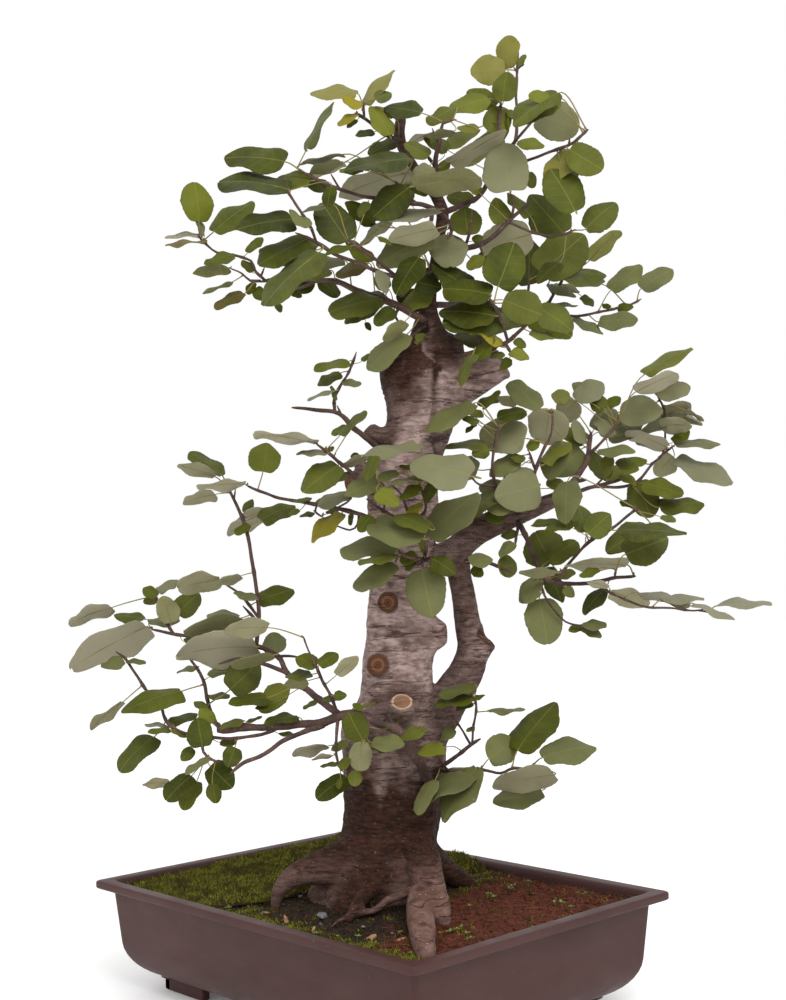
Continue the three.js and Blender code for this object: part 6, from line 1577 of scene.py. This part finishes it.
# The sprays' materials, by the kinds of their faces: twigs, blades above and below, stems, buds.
def leafMaterials():
    names = ["dark", "bright", "paintedSkySheen", "yellow", "brown"]
    # In both palettes the dark and bright greens also carry painted shade and painted light through the
    # blade, and the grey is a painted reflection of the sky.
    top = [(46, 52, 10), (94, 100, 24), (122, 120, 98), (140, 126, 32), (88, 60, 28)]
    under = [(70, 74, 32), (118, 120, 56), (160, 154, 130), (160, 146, 62), (112, 82, 46)]
    top, under = dict(zip(names, top)), dict(zip(names, under))
    return [
        twigMaterial("twigBark", (40, 24, 20), (88, 62, 52), 0.8),
        bladeMaterial("bladeTop", top, (122, 124, 62), 0.4, 0.5, 0.5),
        bladeMaterial("bladeUnder", under, (158, 152, 104), 0.5, 0.66, 0.35),
        twigMaterial("stemSkin", (104, 96, 44), (136, 122, 62), 0.6),
        twigMaterial("budSkin", (84, 46, 36), (120, 92, 56), 0.5),
    ]


# Alder bark: silvery skin with pale and dark level dashes and thin cracks; dark brown with lichen specks low
# down and at the top, where the dark also holds painted shade from the crown, and partly in the groove as
# painted shade; cut ends in browned or fresh wood with growth rings.
def barkMaterial():
    mix = Recipe("alderBark")
    dark, cut, fresh, stripe = mix.tones()
    streaks = mix.noise((40, 40, 170), 5, 0.65)
    flakes = mix.noise((130, 130, 360), 4, 0.6)
    patches = mix.noise((24, 24, 34), 4, 0.6)
    level = mix.plus(mix.times(streaks, 0.55), mix.times(flakes, 0.45))
    level = mix.plus(level, mix.spread(stripe, 0, 1, -0.06, 0.06))
    silver = mix.blend(mix.spread(level, 0.38, 0.6), (104, 80, 74), (172, 150, 144))
    silver = mix.blend(mix.spread(patches, 0.48, 0.66, 0, 0.7), silver, (96, 72, 64))
    silver = mix.blend(mix.times(fresh, 0.55), silver, (130, 88, 70))
    dashes = mix.cells((105, 105, 330))
    shown = mix.spread(mix.noise((60, 60, 90), 3), 0.46, 0.56)
    rim = mix.times(mix.spread(dashes, 0.22, 0.36, 1, 0), shown)
    dash = mix.times(mix.spread(dashes, 0.12, 0.2, 1, 0), shown)
    cracks = mix.math("ABSOLUTE", mix.math("SUBTRACT", mix.noise((9, 9, 95), 3), 0.5))
    crack = mix.times(mix.spread(cracks, 0.004, 0.013, 1, 0), mix.spread(patches, 0.4, 0.5))
    blots = mix.cells((42, 42, 66))
    blot = mix.times(mix.spread(blots, 0.12, 0.3, 1, 0), mix.spread(patches, 0.46, 0.54))
    silver = mix.blend(mix.times(blot, 0.7), silver, (64, 46, 42))
    silver = mix.blend(mix.times(rim, 0.6), silver, (84, 58, 50))
    silver = mix.blend(mix.times(crack, 0.8), silver, (66, 44, 38))
    silver = mix.blend(mix.times(dash, 0.75), silver, (188, 164, 152))
    earth = mix.blend(mix.spread(flakes, 0.35, 0.65), (31, 18, 12), (66, 38, 27))
    earth = mix.blend(mix.spread(streaks, 0.54, 0.7, 0, 0.35), earth, (92, 62, 50))
    earth = mix.blend(mix.times(dash, 0.28), earth, (140, 108, 90))
    crust = mix.noise(330, 2)
    earth = mix.blend(mix.spread(crust, 0.66, 0.74, 0, 0.6), earth, (132, 106, 84))
    # The dark tone turns the silver skin dark brown: darker bark, with painted shade added at the column's
    # top and in the groove.
    colour = mix.blend(dark, silver, earth)
    reach = mix.times(mix.flat()[1], 100)
    rings = mix.math("SINE", mix.times(reach, 40))
    old = mix.blend(mix.spread(rings, -1, 1), (58, 32, 22), (92, 56, 38))
    halo = mix.spread(mix.math("ABSOLUTE", mix.math("SUBTRACT", reach, 0.45)), 0.05, 0.16, 1, 0)
    old = mix.blend(mix.times(halo, 0.6), old, (128, 86, 60))
    old = mix.blend(mix.spread(reach, 0.7, 0.95), old, (44, 22, 15))
    pale = mix.blend(mix.spread(rings, -1, 1), (104, 74, 54), (142, 106, 80))
    pale = mix.blend(mix.spread(reach, 0.75, 0.92), pale, (198, 172, 144))
    colour = mix.blend(cut, colour, mix.blend(fresh, old, pale))
    fine = mix.noise((260, 260, 600), 5, 0.7)
    height = mix.math("SUBTRACT", mix.plus(level, mix.times(dash, 0.25)), crack)
    bump = mix.relief(height, 0.8, 0.003)
    bump = mix.relief(fine, 0.5, 0.0012, bump)
    sheen = mix.spread(level, 0.3, 0.7, 0.92, 0.76)
    return mix.surface(colour, sheen, bump, 0.2)


# Moulded plastic with a satin skin, faint mould texture and specks of pale dust.
def potMaterial():
    mix = Recipe("potPlastic")
    cloud = mix.noise((9, 9, 14), 5, 0.6)
    colour = mix.blend(mix.spread(cloud, 0.3, 0.7), (62, 39, 36), (72, 47, 44))
    dust = mix.spread(mix.noise(320, 2), 0.7, 0.78, 0, 0.35)
    colour = mix.blend(dust, colour, (128, 108, 98))
    pores = mix.noise(1500, 2)
    bump = mix.relief(pores, 0.12, 0.0004)
    bump = mix.relief(cloud, 0.1, 0.003, bump)
    sheen = mix.spread(mix.noise((30, 30, 60), 4), 0.3, 0.7, 0.4, 0.54)
    return mix.surface(colour, sheen, bump, 0.16)


# Soil: reddish fibre turning to dark wet earth by the tone, greened where moss creeps.
def soilMaterial():
    mix = Recipe("fibrousSoil")
    dark, green = mix.tones()[:2]
    grain = mix.noise(260, 6, 0.72)
    lumps = mix.noise(70, 4)
    red = mix.blend(mix.spread(grain, 0.34, 0.68), (42, 18, 11), (118, 52, 31))
    red = mix.blend(mix.spread(lumps, 0.5, 0.7, 0, 0.5), red, (72, 34, 22))
    black = mix.blend(mix.spread(grain, 0.36, 0.7), (24, 14, 10), (62, 40, 28))
    colour = mix.blend(dark, red, black)
    colour = mix.blend(mix.times(green, 0.55), colour, (62, 66, 24))
    bump = mix.relief(grain, 0.9, 0.003)
    return mix.surface(colour, 0.95, bump, 0.25)


# Moss: dark olive deep down, yellow-green at the tips, with brown tufts.
def mossMaterial(name, low, high, brownShare):
    mix = Recipe(name)
    broad, own, fray = mix.tones()[:3]
    grain = mix.noise(330, 5, 0.7)
    share = mix.plus(mix.times(own, 0.5), mix.times(grain, 0.5))
    colour = mix.blend(mix.spread(share, 0.25, 0.75), low, high)
    tint = mix.spread(broad, 0.5, 0.72, 0, brownShare)
    colour = mix.blend(tint, colour, (66, 54, 26))
    colour = mix.blend(fray if name == "mossBody" else 0.0, colour, (40, 30, 20))
    bump = mix.relief(grain, 1.0, 0.004)
    return mix.surface(colour, 0.95, bump, 0.2)


# A plain grained surface between two shades.
def plainMaterial(name, dark, light, scale, roughness):
    mix = Recipe(name)
    grain = mix.noise(scale, 4, 0.65)
    colour = mix.blend(mix.spread(grain, 0.35, 0.65), dark, light)
    return mix.surface(colour, roughness, mix.relief(grain, 0.6, 0.001))


studio = {
    "pitch": 2.11,  # the camera looks up a little
    "roll": 1.44,  # and leans, so that level lines rise to the right
    "lens": 52.2,
    "glow": 0.08,
    "sky": 1.0,
    "tableHalf": 6,
    "lamps": [("keyLight", (700, -1500, 1900), 32.0, 1.4), ("fillLight", (-1500, -900, 1100), 4.0, 1.6)],
}


# A point of the front view, in mm, as a place in metres.
def frontPoint(u, v, z):
    return (potMiddle + across * u + away * v + up * z) / 1000


# The camera stands at the viewer's place, looks level but for its pitch, and leans by its roll.
def makeCamera():
    pitch, roll = np.radians(studio["pitch"]), np.radians(studio["roll"])
    forward = away * np.cos(pitch) + up * np.sin(pitch)
    above = np.cross(across, forward)
    right = across * np.cos(roll) - above * np.sin(roll)
    above = across * np.sin(roll) + above * np.cos(roll)
    lens = bpy.data.cameras.new("frontView")
    lens.lens = studio["lens"]
    lens.sensor_fit = "VERTICAL"
    lens.sensor_height = 36
    lens.clip_end = 30
    camera = linked(bpy.data.objects.new("frontView", lens))
    turn = np.eye(4)
    turn[:3, :3] = np.stack([right, above, -forward], -1)
    turn[:3, 3] = frontPoint(*viewer)
    camera.matrix_world = Matrix(turn.tolist())
    bpy.context.scene.camera = camera


# A square soft light that faces the middle of the tree.
def softbox(name, at, power, size):
    lamp = bpy.data.lights.new(name, "AREA")
    lamp.energy = power
    lamp.size = size
    box = linked(bpy.data.objects.new(name, lamp))
    stand = Vector(frontPoint(*at))
    aim = Vector(frontPoint(0, 0, 420)) - stand
    box.matrix_world = Matrix.Translation(stand) @ aim.to_track_quat("-Z", "Y").to_matrix().to_4x4()


# A white tent, two soft lights and a white table top at the pot's feet.
def makeStudio():
    world = bpy.data.worlds.new("whiteTent")
    world.use_nodes = True
    sky = world.node_tree.nodes["Background"]
    sky.inputs[0].default_value = (1, 1, 1, 1)
    sky.inputs[1].default_value = studio["sky"]
    bpy.context.scene.world = world
    bpy.context.scene.view_settings.view_transform = "Standard"
    for lamp in studio["lamps"]:
        softbox(*lamp)
    half = studio["tableHalf"]
    mesh = bpy.data.meshes.new("tableTop")
    corners = [(x * half, y * half, 0) for x, y in [(-1, -1), (1, -1), (1, 1), (-1, 1)]]
    mesh.from_pydata(corners, [], [(0, 1, 2, 3)])
    mesh.transform(Matrix.Translation((0, 0, potMiddle[2] / 1000 - 0.0005)))
    paper = Recipe("whitePaper")
    white = {"Base Color": (0.97, 0.97, 0.97), "Roughness": 0.9, "Specular IOR Level": 0.0}
    white |= {"Emission Color": (1, 1, 1), "Emission Strength": studio["glow"]}
    paper.fill(paper.nodes["Principled BSDF"], white)
    mesh.materials.append(paper.material)
    linked(bpy.data.objects.new("tableTop", mesh))


makeCamera()
makeStudio()
print("studio set")
makePot(potMaterial())
makeSoil(soilMaterial())
makeCrumbs(soilMaterial())
makeFibres(plainMaterial("soilFibre", (74, 34, 21), (128, 70, 44), 200, 0.9))
makeMossMat(mossMaterial("mossBody", (34, 32, 10), (96, 92, 30), 0.8))
makeSprigs(mossMaterial("mossTips", (36, 38, 8), (166, 164, 58), 0.75))
makeWeeds(plainMaterial("weedLeaf", (62, 82, 24), (118, 142, 44), 150, 0.6))
makeLoose(plainMaterial("greyStone", (58, 58, 62), (120, 118, 120), 160, 0.7),
          plainMaterial("barkChip", (96, 60, 40), (170, 130, 96), 200, 0.8))
print("ground set")
makeTrunk(barkMaterial())
makeSprays(leafMaterials())
print("tree set")
